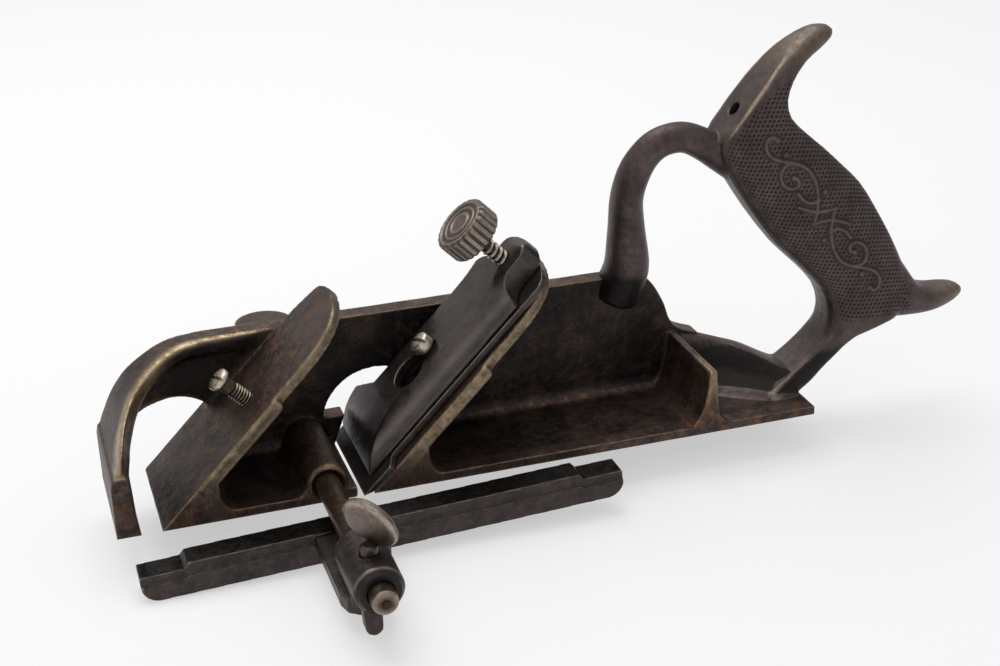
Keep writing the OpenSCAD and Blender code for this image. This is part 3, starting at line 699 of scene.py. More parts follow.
@dataclass
class Scroll:
    """Raised scroll on both flanks of the grip: half of the figure, which the other half repeats turned.

    Attributes:
        strokes: Curves through points (down the grip, towards its back), in millimetres from the middle.
        beads: Middles of the round ends, likewise.
        width: Half the width of a stroke.
        bead_r: Radius of a bead.
    """

    strokes: tuple[tuple[tuple[float, float], ...], ...] = (
        ((-31.5, -2), (-33.2, -3), (-33, -5), (-30.5, -6.3), (-27.5, -5.8), (-24.3, -3.5), (-21.3, -0.5),
         (-17.2, 2), (-12.3, 2.4), (-7, 1), (-3.5, -1), (-0.8, -3.2)),
        ((-21.3, -0.5), (-22.5, -3.5), (-20.8, -6), (-17.6, -6.7), (-14.8, -5.2), (-14.2, -2.9),
         (-15.9, -2), (-17.3, -2.9)),
        ((-7.8, -5.8), (-5, -3.6), (-2.6, -1.2), (-1, 1.6), (0.1, 4.3)),
        ((-5.8, 0.9), (-6.5, -1.7), (-8.8, -3.4), (-12, -4)),
    )
    beads: tuple[tuple[float, float], ...] = ((-7, 3.6), (-25.6, -1.8), (-17.3, -2.9), (-31.5, -2))
    width: float = 0.4
    bead_r: float = 0.7

    def curve(self, points: tuple[tuple[float, float], ...]) -> np.ndarray:
        """Draws a smooth curve.

        Args:
            points: Points that it goes through.

        Returns:
            Places along it, with five steps between two points.
        """
        p = np.array(points)
        p = np.vstack([2 * p[0] - p[1], p, 2 * p[-1] - p[-2]])
        t = np.linspace(0, 1, 5, endpoint=False)[:, None]
        runs = [0.5 * (2 * b + (c - a) * t + (2 * a - 5 * b + 4 * c - d) * t ** 2
                       + (3 * b - a - 3 * c + d) * t ** 3)
                for a, b, c, d in zip(p, p[1:], p[2:], p[3:])]
        return np.vstack(runs + [p[-2:-1]])

    def distance(self, places: np.ndarray) -> np.ndarray:
        """Measures how far places are outside the strokes and beads.

        Args:
            places: Down the grip and towards its back, in millimetres.

        Returns:
            The distance of each place, below 0 inside a stroke or bead.
        """
        nearest = np.full(len(places), np.inf)
        for turn in (1, -1):
            for stroke in self.strokes:
                nearest = np.minimum(nearest, gap_to(places, self.curve(stroke) * turn) - self.width)
            for bead in self.beads:
                off = np.linalg.norm(places - np.array(bead) * turn, axis=1)
                nearest = np.minimum(nearest, off - self.bead_r)
        return nearest


@dataclass
class Handle(CastPiece):
    """Closed handle: checkered grip with a raised scroll on each flank, smooth post, horns and front facet.

    Attributes:
        centre: Middle of the grip, from the heel along X and above the sole.
        slope: Angle of the grip below the level.
        half_t: Half of the grip's thickness.
        pitch: Distance between rows of pits, in millimetres.
        lozenge: Angle of those rows from the grip's length.
        pit_d: Depth of a pit.
        rise: Height of the scroll.
        crest: Worn edge between front facet and flank, from the heel and above the sole, in millimetres.
        crest_h: How far that edge stands out.
        neck: Worn ridge down the back of the web, likewise.
        scroll: Figure on the flanks.
    """

    centre: tuple[float, float] = (5 * MM, 62 * MM)
    slope: float = math.radians(60)
    half_t: float = 8.75 * MM
    pitch: float = 1.4
    lozenge: float = math.radians(56)
    pit_d: float = 0.24 * MM
    rise: float = 0.42 * MM
    crest: tuple[tuple[float, float], ...] = ((-30.3, 86.8), (-24.8, 93.4), (-18.7, 100.9),
                                              (-12.6, 108.6), (-8.1, 113.1), (-4.1, 116.3))
    crest_h: float = 0.2 * MM
    neck: tuple[tuple[float, float], ...] = ((9.1, 20.4), (4.7, 16.2), (-0.3, 11.8), (-5.3, 7.4), (-9.6, 3.6))
    scroll: Scroll = field(default_factory=Scroll)

    def along(self, points: np.ndarray) -> tuple[np.ndarray, np.ndarray]:
        """Measures points along the grip.

        Args:
            points: Vertices of the mesh.

        Returns:
            Each point's distance down the grip and towards its back, in millimetres.
        """
        dx = (points[:, 0] - HEEL_X - self.centre[0]) / MM
        dz = (points[:, 2] - self.centre[1]) / MM
        c, s = math.cos(self.slope), math.sin(self.slope)
        return dx * c - dz * s, dx * s + dz * c

    def seen(self, points: np.ndarray) -> tuple[np.ndarray, np.ndarray]:
        """Returns each point's distance from the heel and above the sole, in millimetres."""
        return (points[:, 0] - HEEL_X) / MM, points[:, 2] / MM

    def pits(self, points: np.ndarray, normals: np.ndarray) -> tuple[np.ndarray, np.ndarray]:
        """Lays out the checkering.

        Args:
            points: Vertices of the mesh.
            normals: Their normals.

        Returns:
            The checkered area, and how near each point is to the middle of a pit; both from 0 to 1.
        """
        down, back = self.along(points)
        reach, height = self.seen(points)
        across = np.abs(points[:, 1])
        backward = normals @ GRIP_BACK
        grip = band(height, 23.5, 26) * band(reach, -31, -28) * band(down, -46, -43)
        horn = band(reach + 0.35 * height, 47, 50)
        facet = band(normals @ FACET_OUT, 0.3, 0.5)
        front = band(-backward, 0.5, 0.75)
        sides = np.maximum(band(across / MM, 6, 6.8), band(back, 2, 4))
        area = grip * (1 - horn) * (1 - facet) * (1 - front) * sides
        wrapped = back + np.maximum((self.half_t - across) / MM, 0) * np.sign(backward)
        c, s = math.cos(self.lozenge), math.sin(self.lozenge)
        one = np.cos(math.pi * (down * s + wrapped * c) / self.pitch) ** 2
        two = np.cos(math.pi * (down * s - wrapped * c) / self.pitch) ** 2
        return area, one * two

    def surface(self, points: np.ndarray, normals: np.ndarray) -> Surface:
        """Sinks the pits, raises the scroll and the worn crests, and smooths the post and the horns.

        Args:
            points: Vertices of the even mesh.
            normals: Their normals.

        Returns:
            What is known of the surface.
        """
        surface = Surface.plain(points)
        down, back = self.along(points)
        reach, height = self.seen(points)
        area, pit = self.pits(points, normals)
        flank = band(np.abs(normals[:, 1]), 0.5, 0.8) * band(reach, -33, -30)
        gap = self.scroll.distance(np.stack([down, back], axis=1))
        figure = (1 - band(gap, -0.3, 0.5)) * flank
        ground = area * band(gap, 0.3, 1.1)
        brink = self.half_t * np.interp(height, (94, 105, 110, 115), (1, 0.9, 0.76, 0.45))
        outer = band(np.abs(points[:, 1]), brink - 2.2 * MM, brink - 1.2 * MM)
        from_crest, from_neck = (gap_to(np.stack([reach, height], axis=1), np.array(line))
                                 for line in (self.crest, self.neck))
        crest = band(from_crest, 0.7, 0.25) * outer * band(height, 114, 108)
        neck = band(from_neck, 1.3, 0.4) * outer
        surface.height = (surface.height - self.pit_d * band(pit, 0, 0.6) * ground + self.rise * figure
                          + self.crest_h * crest)

        post_foot = band(reach, -30, -33) * band(height, 50, 42)
        low_wall = band(height, 22, 12) * band(-normals[:, 1], 0.1, 0.6)
        surface.coat = np.maximum(0.8 * low_wall, 0.7 * post_foot)
        tips = 0.2 * band(reach, 44, 57) + 0.2 * band(height, 104, 116)
        ridges = 0.14 * flank * band(gap, 0, -0.3)
        surface.bare_and_highlight = np.maximum.reduce([tips, ridges, 0.6 * crest, 0.5 * neck])
        beside = 0.7 * flank * band(gap, 0, 0.3) * band(gap, 0.9, 0.5)
        surface.dirt_and_shade = np.maximum(0.92 * ground * band(pit, 0.08, 0.5), beside)
        surface.matt = 0.8 * area
        on_grip = band(reach, -33, -30) * band(reach, 40, 36) * band(height, 20, 24)
        surface.soft = (1 - 0.75 * on_grip) * (1 - crest)
        return surface


@dataclass
class FenceBar(CastPiece):
    """Fence with black paint left in the recess on top of its bar.

    Attributes:
        boss_r: Radius of the boss that clamps the rod.
    """

    boss_r: float = 6.9 * MM

    def surface(self, points: np.ndarray, normals: np.ndarray) -> Surface:
        """Paints the top of the bar and the faces under the arm, and brightens the upper arc of the ring
        round the rod as a painted highlight.

        Args:
            points: Vertices of the even mesh.
            normals: Their normals.

        Returns:
            What is known of the surface.
        """
        low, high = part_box("fence")
        rod_low, rod_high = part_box("fence_rod")
        x, y, z = points.T
        rod_x, rod_z = (rod_low.x + rod_high.x) / 2, (rod_low.z + rod_high.z) / 2
        surface = Surface.plain(points)
        off_axis = np.hypot(x - rod_x, z - rod_z)
        end_ring = low.y + 2 * MM
        # Bright ring round the rod on its upper arc only: a painted highlight where the overhead light falls
        surface.bare_and_highlight = (0.4 * band(np.abs(y - end_ring), 0.7 * MM, 0.2 * MM)
                        * band(off_axis, self.boss_r - 0.9 * MM, self.boss_r - 0.3 * MM)
                        * band(z, rod_z, rod_z + 4 * MM))
        end_face = band(y, end_ring - 0.3 * MM, end_ring - 0.8 * MM)
        surface.dirt_and_shade = 0.7 * end_face
        surface.matt = end_face
        bar_top = band(y, high.y - 11 * MM, high.y - 9 * MM) * band(normals[:, 2], 0.5, 0.9)
        surface.coat = np.clip(0.75 * bar_top + 0.6 * band(-normals[:, 2], 0.5, 0.9), 0, 1)
        return surface


@dataclass(frozen=True)
class Axis:
    """Axis of a turned piece, found from its CAD node.

    Attributes:
        foot: Lowest place of the node on its axis.
        along: Direction of the axis.
        side: Direction from which angles count.
        length: Length of the node along the axis.
    """

    foot: Vector
    along: Vector
    side: Vector
    length: float

    @staticmethod
    def of(node: str, along: Vector, side: Vector) -> "Axis":
        """Finds where a node's axis lies.

        Args:
            node: CAD node, round about the axis.
            along: Direction of the axis.
            side: Direction square to it, from which angles count.

        Returns:
            The axis from the node's lowest to its highest place along it.
        """
        third = along.cross(side)
        basis = np.array([side, third, along])
        places = points_of(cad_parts[node].data) @ basis.T
        middle = (places.min(0) + places.max(0)) / 2
        middle[2] = places[:, 2].min()
        foot = Vector(middle @ basis)
        return Axis(foot, along, side, float(np.ptp(places[:, 2])))

    def matrix(self) -> Matrix:
        """Finds the place of a piece that was modelled upright at the origin.

        Returns:
            The turn and shift that take it there.
        """
        third = self.along.cross(self.side)
        turn = Matrix((self.side, third, self.along)).transposed().to_4x4()
        return Matrix.Translation(self.foot) @ turn


def turned(name: str, profile: list[tuple[float, float]], sides: int) -> bpy.types.Object:
    """Turns a solid about Z: a disc that is extruded and resized from ring to ring.

    Args:
        name: Name of the object.
        profile: Radius and height of each ring, from the foot up.
        sides: Number of sides.

    Returns:
        The closed solid, in edit-free object mode.
    """
    radius, height = profile[0]
    bpy.ops.object.select_all(action="DESELECT")
    bpy.ops.mesh.primitive_circle_add(vertices=sides, radius=radius, fill_type="NGON", location=(0, 0, 0))
    piece = bpy.context.object
    piece.name = name
    piece.data.name = name
    bpy.ops.object.mode_set(mode="EDIT")
    bpy.ops.mesh.select_all(action="SELECT")
    bpy.ops.transform.translate(value=(0, 0, height))
    for next_radius, next_height in profile[1:]:
        bpy.ops.mesh.extrude_region_move(
            TRANSFORM_OT_translate={"value": (0, 0, next_height - height)})
        bpy.ops.transform.resize(value=(next_radius / radius, next_radius / radius, 1),
                                 center_override=(0, 0, next_height))
        radius, height = next_radius, next_height
    bpy.ops.mesh.select_all(action="SELECT")
    bpy.ops.mesh.normals_make_consistent(inside=False)
    bpy.ops.object.mode_set(mode="OBJECT")
    return piece


def thread(name: str, core: float, crest: float, pitch: float, low: float, high: float) -> bpy.types.Object:
    """Winds a screw thread about Z: a triangle in the XZ plane, swept up by the Screw modifier.

    Args:
        name: Name of the object.
        core: Radius at the root of the thread.
        crest: Radius at its crest.
        pitch: Climb of one turn.
        low: Height of its start.
        high: Height of its end.

    Returns:
        The closed ridge.
    """
    mesh = bpy.data.meshes.new(name)
    root = core - 0.1 * MM
    flank = pitch * 0.41
    corners = [(root, 0, low), (root, 0, low + 2 * flank), (crest, 0, low + flank)]
    mesh.from_pydata(corners, [], [(0, 1, 2)])
    piece = bpy.data.objects.new(name, mesh)
    bpy.context.scene.collection.objects.link(piece)
    turns = max(int((high - low) / pitch) - 1, 1)
    finish_with(piece, "SCREW", axis="Z", angle=math.tau, screw_offset=pitch, iterations=turns, steps=24,
                render_steps=24, use_normal_calculate=True)
    select(piece)
    bpy.ops.object.mode_set(mode="EDIT")
    bpy.ops.mesh.select_all(action="SELECT")
    bpy.ops.mesh.normals_make_consistent(inside=False)
    bpy.ops.object.mode_set(mode="OBJECT")
    return piece


def joined(pieces: list[bpy.types.Object]) -> bpy.types.Object:
    """Joins objects into the first one.

    Args:
        pieces: Mesh objects.

    Returns:
        The first one.
    """
    select(pieces[0])
    for piece in pieces[1:]:
        piece.select_set(True)
    bpy.ops.object.join()
    return pieces[0]


def mark(piece: bpy.types.Object, rubbed: Callable[[np.ndarray, np.ndarray], np.ndarray],
         dirty_and_shaded: Callable[[np.ndarray, np.ndarray], np.ndarray]) -> None:
    """Writes the masks of a turned piece while it stands upright at the origin.

    Args:
        piece: Mesh object.
        rubbed: Share of bare metal for radii and heights, which on the rod's end is also a painted highlight.
        dirty_and_shaded: Share of dirt for radii and heights, which on some pieces is painted shade.
    """
    points = points_of(piece.data)
    radius = np.hypot(points[:, 0], points[:, 1])
    height = points[:, 2]
    write_masks(piece.data, rubbed(radius, height), dirty_and_shaded(radius, height), np.zeros(len(points)))


def rounded(piece: bpy.types.Object, width: float, angle: float) -> None:
    """Rounds the edges of a turned piece.

    Args:
        piece: Mesh object.
        width: Width of the rounding.
        angle: Least angle of an edge that is rounded, in degrees.
    """
    finish_with(piece, "BEVEL", width=width, segments=2, limit_method="ANGLE",
                angle_limit=math.radians(angle))


def settle(piece: bpy.types.Object, axis: Axis) -> None:
    """Puts the place of a turned piece in its mesh and shades it.

    Args:
        piece: Object modelled upright at the origin.
        axis: Where it belongs.
    """
    piece.data.transform(axis.matrix())
    piece.data.update()
    select(piece)
    bpy.ops.object.shade_smooth_by_angle(angle=SHADE_ANGLE)


@dataclass
class SlottedScrew:
    """Slotted screw with a shallow domed head and a threaded shank.

    Attributes:
        node: CAD node that it stands for.
        turn: Angle of the slot from the slope of the bed, in degrees.
        head_r: Radius of the head.
        head_h: Height of the head up to its dome.
        dome: Height of the dome.
        shank_r: Radius of the shank.
        pitch: Pitch of the thread.
        slot_w: Width of the slot.
        slot_d: Depth of the slot below the top of the dome.
        thread_wear: How far the thread's crests are rubbed bright.
        plain: Length of the shank under the head that has no thread.
    """

    node: str
    turn: float
    head_r: float = 3.5 * MM
    head_h: float = 1.9 * MM
    dome: float = 0.9 * MM
    shank_r: float = 2.4 * MM
    pitch: float = 0.95 * MM
    slot_w: float = 1.1 * MM
    slot_d: float = 1.6 * MM
    thread_wear: float = 0.06
    plain: float = 3.4 * MM

    def over_dome(self, radius: np.ndarray, height: np.ndarray, top: float) -> np.ndarray:
        """Returns how high places lie over the dome at their radius, which is below 0 in the slot."""
        share = np.clip(radius / self.head_r, 0, 1)
        return height - (top - self.dome * (1 - np.sqrt(1 - share ** 2)))

    def solid(self, top: float, neck: float, core: float) -> bpy.types.Object:
        """Turns the screw without its slot and thread.

        Args:
            top: Height of the dome.
            neck: Height of the head's underside.
            core: Radius at the root of the thread.

        Returns:
            The solid, upright at the origin.
        """
        shank = self.shank_r - 0.1 * MM
        profile = [(core - 0.5 * MM, 0), (core, 0.6 * MM), (core, neck - self.plain - 0.3 * MM),
                   (shank, neck - self.plain), (shank, neck), (self.head_r - 0.3 * MM, neck),
                   (self.head_r, neck + 0.3 * MM)]
        for angle in range(0, 90, 12):
            t = math.radians(angle)
            profile.append((self.head_r * math.cos(t), top - self.dome + self.dome * math.sin(t)))
        return turned(self.node + "_dressed", profile, 56)

    def build(self) -> bpy.types.Object:
        """Turns the screw, cuts its slot, winds its thread and sets it in place.

        Returns:
            The finished piece.
        """
        axis = Axis.of(self.node, BED_OUT, BED_UP)
        top = axis.length
        neck = top - self.dome - self.head_h
        core = self.shank_r - 0.35 * MM
        piece = self.solid(top, neck, core)
        bpy.ops.object.select_all(action="DESELECT")
        bpy.ops.mesh.primitive_cube_add(size=1, location=(0, 0, top))
        blade = bpy.context.object
        blade.scale = (3 * self.head_r, self.slot_w, 2 * self.slot_d)
        blade.rotation_euler = (0, 0, math.radians(self.turn))
        bpy.context.view_layer.update()
        finish_with(piece, "BOOLEAN", object=blade, operation="DIFFERENCE", solver="EXACT")
        bpy.data.objects.remove(blade)
        ridge = thread(self.node + "_thread", core, self.shank_r, self.pitch, 0.7 * MM, neck - self.plain)
        rounded(piece, 0.14 * MM, 32)
        piece = joined([piece, ridge])
        mark(piece, lambda r, z: np.where(z > neck, 0.35 + 0.5 * band(r, self.head_r - 0.5 * MM, self.head_r),
                                          self.thread_wear * band(r, core + 0.1 * MM, self.shank_r)),
             lambda r, z: np.maximum(0.8 * (z < neck) * band(r, core + 0.2 * MM, core),
                                     (z > neck + 0.1 * MM) * (r < self.head_r - 0.2 * MM)
                                     * band(self.over_dome(r, z, top), -0.2 * self.slot_d,
                                            -0.5 * self.slot_d)))
        settle(piece, axis)
        return dressed(piece, SCREW_STEEL, Slot.SCREW, "casting", self.node)


@dataclass
class KnurledScrew:
    """Screw of the lever cap: fluted knob with rings on its face, threaded shank with a bright thread.

    Attributes:
        node: CAD node that it stands for.
        knob_r: Radius of the knob.
        knob_t: Thickness of the knob.
        sink: Depth of the hollows between its rings.
        flutes: Number of flutes.
        flute_d: Depth of a flute.
        shank_r: Radius of the shank with its thread.
        pitch: Pitch of the thread.
    """

    node: str = "cap_thumb_screw"
    knob_r: float = 8.85 * MM
    knob_t: float = 7.8 * MM
    sink: float = 0.45 * MM
    flutes: int = 24
    flute_d: float = 0.55 * MM
    shank_r: float = 2.6 * MM
    pitch: float = 1.9 * MM

    def build(self) -> bpy.types.Object:
        """Turns the knob with its rings, cuts the flutes and adds the threaded shank.

        Returns:
            The finished piece.
        """
        axis = Axis.of(self.node, BED_OUT, BED_UP)
        top = axis.length
        under = top - self.knob_t
        r = self.knob_r
        sunk = top - self.sink
        profile = [(self.shank_r, under), (r - 1.6 * MM, under), (r - 0.5 * MM, under + 0.25 * MM),
                   (r, under + 0.9 * MM), (r, under + 1.3 * MM), (r, top - 1.3 * MM), (r, top - 0.9 * MM),
                   (r - 0.5 * MM, top - 0.25 * MM), (r - 1.1 * MM, top), (r - 1.7 * MM, top),
                   (r - 2.0 * MM, sunk), (r - 3.0 * MM, sunk), (r - 3.2 * MM, top - 0.15 * MM),
                   (r - 3.6 * MM, top - 0.15 * MM), (r - 3.8 * MM, sunk), (r - 5.0 * MM, sunk),
                   (r - 5.3 * MM, top), (r - 5.8 * MM, top), (r - 6.1 * MM, top - 0.25 * MM),
                   (0.4 * MM, top - 0.3 * MM)]
        knob = turned("cap_thumb_screw_dressed", profile, self.flutes * 8)
        points = points_of(knob.data)
        radius = np.hypot(points[:, 0], points[:, 1])
        angle = np.arctan2(points[:, 1], points[:, 0]) * self.flutes / math.tau
        groove = band(np.abs(angle - np.round(angle)), 0.24, 0.08)
        groove = groove * band(radius, r - 1.2 * MM, r - 0.4 * MM)
        points[:, :2] *= (1 - self.flute_d * groove / np.maximum(radius, MM))[:, None]
        move_points(knob.data, points)
        core = self.shank_r - 0.55 * MM
        collar = self.shank_r + 0.9 * MM
        shank = turned("shank", [(core - 0.6 * MM, 0), (core, 0.6 * MM), (core, under - 2.4 * MM),
                                 (collar, under - 1.6 * MM), (collar, under)], 48)
        ridge = thread("thread", core, self.shank_r, self.pitch, 0.4 * MM, under - 2.2 * MM)
        piece = joined([knob, shank, ridge])
        mark(piece, lambda q, z: np.where(z > under, 0.3 * band(q, r - 0.4 * MM, r)
                                          + 0.25 * (q < r - 1 * MM) * (z > top - 0.2 * MM),
                                          band(q, core + 0.1 * MM, self.shank_r)),
             lambda q, z: np.where(z > under + 0.1 * MM, 0.5 * (z < top - 0.4 * MM) * (q < r - 1.4 * MM)
                                   + 0.5 * band(q, r - 0.3 * MM, r - 0.5 * MM) * (q > r - 1.2 * MM),
                                   0.85 * band(q, core + 0.3 * MM, core)))
        rounded(piece, 0.08 * MM, 34)
        settle(piece, axis)
        return dressed(piece, PLATED_STEEL, Slot.SCREW, "cap_knob", self.node)


@dataclass
class FenceRod:
    """Round rod of the fence with a rounded, centre-marked end.

    Attributes:
        node: CAD node that it stands for.
        radius: Radius of the rod.
        soft: Radius of the rounding of its end.
    """

    node: str = "fence_rod"
    radius: float = 3.6 * MM
    soft: float = 1.2 * MM

    def build(self) -> bpy.types.Object:
        """Turns the rod from the bottom of its socket to its free end.

        Returns:
            The finished piece.
        """
        axis = Axis.of(self.node, -ACROSS, Vector((1, 0, 0)))
        end = axis.length
        r = self.radius
        profile = [(r - 0.6 * MM, 0), (r, 0.6 * MM)]
        for angle in range(0, 91, 15):
            t = math.radians(angle)
            profile.append((r - self.soft + self.soft * math.cos(t),
                            end - self.soft + self.soft * math.sin(t)))
        profile += [(1.3 * MM, end + 0.01 * MM), (1.0 * MM, end - 0.25 * MM), (0.3 * MM, end - 0.8 * MM)]
        piece = turned("fence_rod_dressed", profile, 64)
        # The end's pale ring and dark middle: rubbed rim and centre mark, and also a painted reflection on
        # the polished dome
        mark(piece, lambda q, z: 0.45 * band(z, end - 1.1 * MM, end - 0.4 * MM) * band(q, 2.0 * MM, 2.8 * MM),
             lambda q, z: np.maximum(0.8 * band(z, end - 8 * MM, end - 5 * MM)
                                     * band(z, end - 0.9 * MM, end - 1.3 * MM),
                                     0.7 * band(q, 2.7 * MM, 1.9 * MM) * (z > end - 1 * MM)))
        rounded(piece, 0.1 * MM, 30)
        settle(piece, axis)
        return dressed(piece, ROD_STEEL, Slot.TOOL, "rod", self.node)


@dataclass
class StopScrew(CastPiece):
    """Thumb screw of the depth stop: a flat disc on edge, with faces darkened as painted shade and a bright
    rim.
    """

    def surface(self, points: np.ndarray, normals: np.ndarray) -> Surface:
        """Leaves the plated surface smooth, dark on its faces as painted shade, and polished at its rim.

        Args:
            points: Vertices of the even mesh.
            normals: Their normals.

        Returns:
            What is known of the surface.
        """
        surface = Surface.plain(points)
        surface.height = 0 * surface.height
        surface.worn = surface.worn + 0.8
        # Darkens the whole disc: painted shade, and a painted dark reflection of the wall behind it
        surface.dirt_and_shade = surface.dirt_and_shade + 0.65
        return surface


@dataclass
class FenceThumbScrew:
    """Thumb screw of the fence: a worn coin-like disc that leans on its short stem.

    Attributes:
        node: CAD node that it stands for.
        disc_r: Radius of the disc.
        disc_t: Thickness of the disc.
        upright_r: Radius of the upright disc of the CAD node, which gives the disc's centre.
        turn: Direction in which the disc's face looks, about the screw's axis.
        lean: Angle by which that face looks down.
        aside: Distance of the disc's middle from the screw's axis.
        stem_r: Radius of the stem.
        tilt: Angle by which the axis leans forward.
    """

    node: str = "fence_thumb_screw"
    disc_r: float = 8.4 * MM
    disc_t: float = 2.8 * MM
    upright_r: float = 7.5 * MM
    turn: float = math.radians(218)
    lean: float = math.radians(18)
    aside: float = 1.2 * MM
    stem_r: float = 2.4 * MM
    tilt: float = math.radians(2.5)

    def build(self) -> bpy.types.Object:
        """Turns the disc and the stem, leans the disc and joins them.

        Returns:
            The finished piece.
        """
        up = Vector((-math.sin(self.tilt), 0, math.cos(self.tilt)))
        axis = Axis.of(self.node, up, ACROSS.cross(up))
        r = self.disc_r
        t = self.disc_t / 2
        centre = axis.length - self.upright_r
        disc = turned(self.node + "_dressed",
                      [(r - 2.2 * MM, -t), (r - 0.8 * MM, 0.25 * MM - t), (r - 0.2 * MM, 0.8 * MM - t),
                       (r, 1.2 * MM - t), (r, t - 1.2 * MM), (r - 0.2 * MM, t - 0.8 * MM),
                       (r - 0.8 * MM, t - 0.25 * MM), (r - 2.2 * MM, t), (0.5 * MM, t + 0.1 * MM)], 96)
        mark(disc, lambda q, z: 0.65 * band(q, r - 1.3 * MM, r - 0.6 * MM) * band(q, r, r - 0.3 * MM),
             lambda q, z: 0 * q)
        disc.data.transform(Matrix.Translation((self.aside, 0, centre)) @ Matrix.Rotation(self.turn, 4, "Z")
                            @ Matrix.Rotation(math.pi / 2 + self.lean, 4, "Y"))
        reach = centre - r + 2.2 * MM
        narrow = self.stem_r - 0.5 * MM
        stem = turned("stem", [(narrow, 0), (self.stem_r, 0.5 * MM), (self.stem_r, reach - 0.6 * MM),
                               (self.stem_r - 0.6 * MM, reach)], 48)
        # The stem is darkened all over: painted shade under the disc
        mark(stem, lambda q, z: 0 * q, lambda q, z: 0.6 + 0 * q)
        piece = joined([disc, stem])
        rounded(piece, 0.1 * MM, 34)
        settle(piece, axis)
        return dressed(piece, PLATED_STEEL, Slot.PLATED, "fence_knob", self.node)


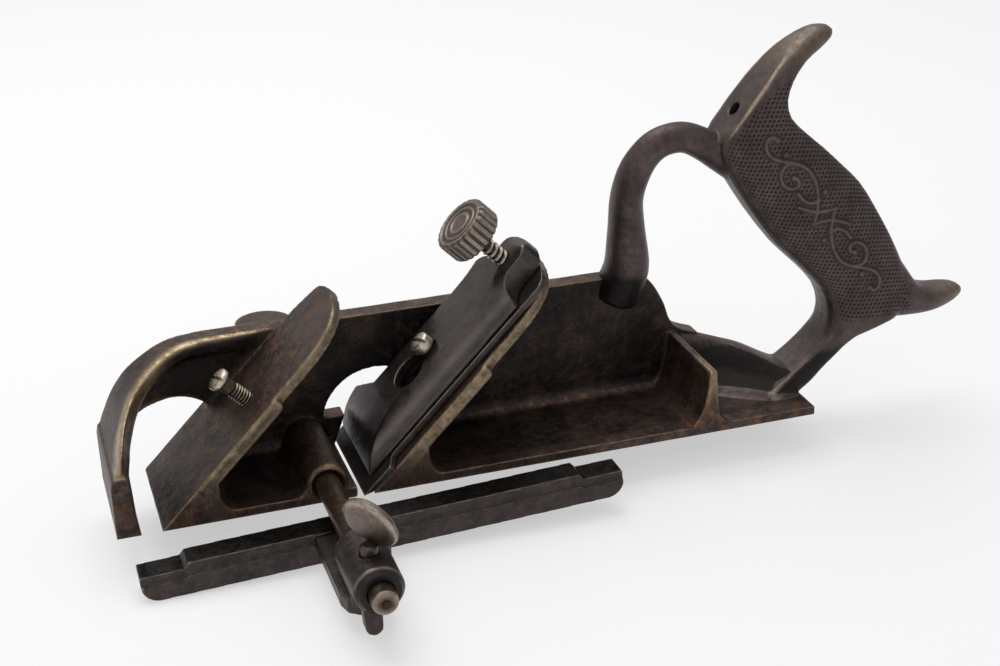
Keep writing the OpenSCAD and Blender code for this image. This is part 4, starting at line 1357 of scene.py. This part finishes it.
@dataclass(frozen=True)
class Studio:
    """White table, soft overhead light and the camera of the photograph.

    Attributes:
        camera_at: Place of the camera.
        ahead: Direction in which it looks.
        roll: Turn about that direction.
        lens: Focal length, in millimetres.
        table_size: Side of the table.
        board: Colour of the table as the plane's lower faces see it.
        glow: Share of the table's white that it gives itself.
        sky: Strength of the sky's light.
        horizon: Share of that strength at the horizon.
        lamps: Name, place, power and size of each lamp.
    """

    camera_at: tuple[float, float, float] = (-0.1279, -0.4303, 0.2411)
    ahead: tuple[float, float, float] = (0.27977, 0.86643, -0.41355)
    roll: float = math.radians(-1.27)
    lens: float = 59.87
    table_size: float = 8.0
    board: tuple[float, float, float, float] = (0.7, 0.7, 0.71, 1)
    glow: float = 0.5
    sky: float = 0.5
    horizon: float = 0.4
    lamps: tuple[tuple[str, tuple[float, float, float], float, float], ...] = (
        ("overhead", (-0.1, 0.35, 1.0), 6.0, 0.9),
        ("fill", (-0.7, -0.8, 0.6), 1.1, 0.6),
    )

    def camera(self) -> None:
        """Sets the camera."""
        camera = bpy.data.objects.new("camera", bpy.data.cameras.new("camera"))
        bpy.context.scene.collection.objects.link(camera)
        camera.data.lens = self.lens
        camera.data.sensor_width = 36
        camera.data.clip_start = 0.01
        upright = Vector(self.ahead).to_track_quat("-Z", "Y").to_matrix().to_4x4()
        roll = Matrix.Rotation(self.roll, 4, "Z")
        camera.matrix_world = Matrix.Translation(self.camera_at) @ upright @ roll
        bpy.context.scene.camera = camera

    def seen(self, tree: bpy.types.NodeTree) -> bpy.types.NodeSocket:
        """Tells the rays that see the white surroundings from those that light the plane.

        Args:
            tree: Node tree of a material or of the world.

        Returns:
            1 for camera, glossy and transmission rays, else 0.
        """
        path = add(tree, "ShaderNodeLightPath")
        both = maths(tree, "MAXIMUM", path.outputs["Is Camera Ray"], path.outputs["Is Glossy Ray"])
        return maths(tree, "MAXIMUM", both, path.outputs["Is Transmission Ray"])

    def table(self) -> None:
        """Lays the white table under the lowest point of the plane."""
        low = CAD_BOX[0].z
        bpy.ops.object.select_all(action="DESELECT")
        bpy.ops.mesh.primitive_plane_add(size=self.table_size, location=(0, 0, low - 0.1 * MM))
        table = bpy.context.object
        table.name = "table"
        material = bpy.data.materials.new("white_painted_board")
        material.use_nodes = True
        tree = material.node_tree
        tree.nodes.clear()
        seen = self.seen(tree)
        white = (1 - self.glow, 1 - self.glow, 1.01 - self.glow, 1)
        board = add(tree, "ShaderNodeBsdfDiffuse", {"Color": blend(tree, seen, self.board, white)})
        lift = add(tree, "ShaderNodeEmission", {"Color": (1, 1, 1, 1),
                                                "Strength": maths(tree, "MULTIPLY", seen, self.glow)})
        both = add(tree, "ShaderNodeAddShader", {0: board.outputs[0], 1: lift.outputs[0]})
        add(tree, "ShaderNodeOutputMaterial", {"Surface": both.outputs[0]})
        table.data.materials.append(material)

    def light(self) -> None:
        """Sets the sky and two soft lamps."""
        world = bpy.data.worlds.new("sky")
        bpy.context.scene.world = world
        world.use_nodes = True
        tree = world.node_tree
        tree.nodes.clear()
        path = add(tree, "ShaderNodeLightPath")
        view = add(tree, "ShaderNodeTexCoord").outputs["Generated"]
        upward = add(tree, "ShaderNodeSeparateXYZ", {0: view}).outputs["Z"]
        dome = ramp(tree, upward, 0.0, 0.9, self.horizon)
        white = maths(tree, "MAXIMUM", dome, path.outputs["Is Camera Ray"])
        strength = add(tree, "ShaderNodeMix", {0: self.seen(tree), 2: self.sky, 3: white})
        sky = add(tree, "ShaderNodeBackground", {"Color": (1, 1, 1, 1), "Strength": strength.outputs[0]})
        add(tree, "ShaderNodeOutputWorld", {"Surface": sky.outputs[0]})
        for name, place, power, size in self.lamps:
            lamp = bpy.data.objects.new(name, bpy.data.lights.new(name, "AREA"))
            bpy.context.scene.collection.objects.link(lamp)
            lamp.data.energy = power
            lamp.data.size = size
            lamp.location = place
            lamp.rotation_euler = (-Vector(place)).to_track_quat("-Z", "Y").to_euler()

    def build(self) -> None:
        """Sets camera, table and light."""
        self.camera()
        self.table()
        self.light()
        bpy.context.scene.view_settings.view_transform = "Standard"


def main() -> None:
    """Builds every piece of the plane and the studio round it."""
    logging.basicConfig(level=logging.INFO, format="%(message)s")
    Studio().build()
    pieces = (
        BodyCasting("casting_dressed", ("body_casting",), "casting", Slot.CASTING, CAST_IRON, 0.45 * MM,
                    softening=40, triangles=MOST_TRIANGLES),
        Handle("handle_dressed", ("handle",), "casting", Slot.CASTING, GRIP_IRON, 0.3 * MM, rounding=4,
               softening=36, triangles=MOST_TRIANGLES),
        CastPiece("cutting_iron_dressed", ("cutting_iron",), "iron", Slot.TOOL, TOOL_STEEL, 0.3 * MM,
                  rounding=1, triangles=60_000),
        CastPiece("lever_cap_dressed", ("lever_cap",), "cap", Slot.TOOL, CAP_IRON, 0.32 * MM, rounding=4,
                  triangles=90_000),
        FenceBar("fence_dressed", ("fence",), "fence_bar", Slot.FENCE, FENCE_IRON, 0.32 * MM, rounding=3),
        CastPiece("depth_stop_dressed", ("depth_stop",), "stop", Slot.CASTING, CAST_IRON, 0.3 * MM,
                  rounding=3, triangles=50_000),
        StopScrew("depth_stop_screw_dressed", ("depth_stop_screw",), "stop_knob", Slot.PLATED, PLATED_STEEL,
                  0.16 * MM, rounding=6, triangles=50_000),
        FenceThumbScrew(),
        SlottedScrew("main_cap_screw", 112, head_r=3.1 * MM, head_h=3.0 * MM),
        SlottedScrew("front_cap_screw", 110, head_h=1.1 * MM, dome=1.3 * MM),
        KnurledScrew(),
        FenceRod(),
    )
    for piece in pieces:
        made = piece.build()
        LOG.info("%s: %d faces", made.name, len(made.data.polygons))


if __name__ == "__main__":
    main()
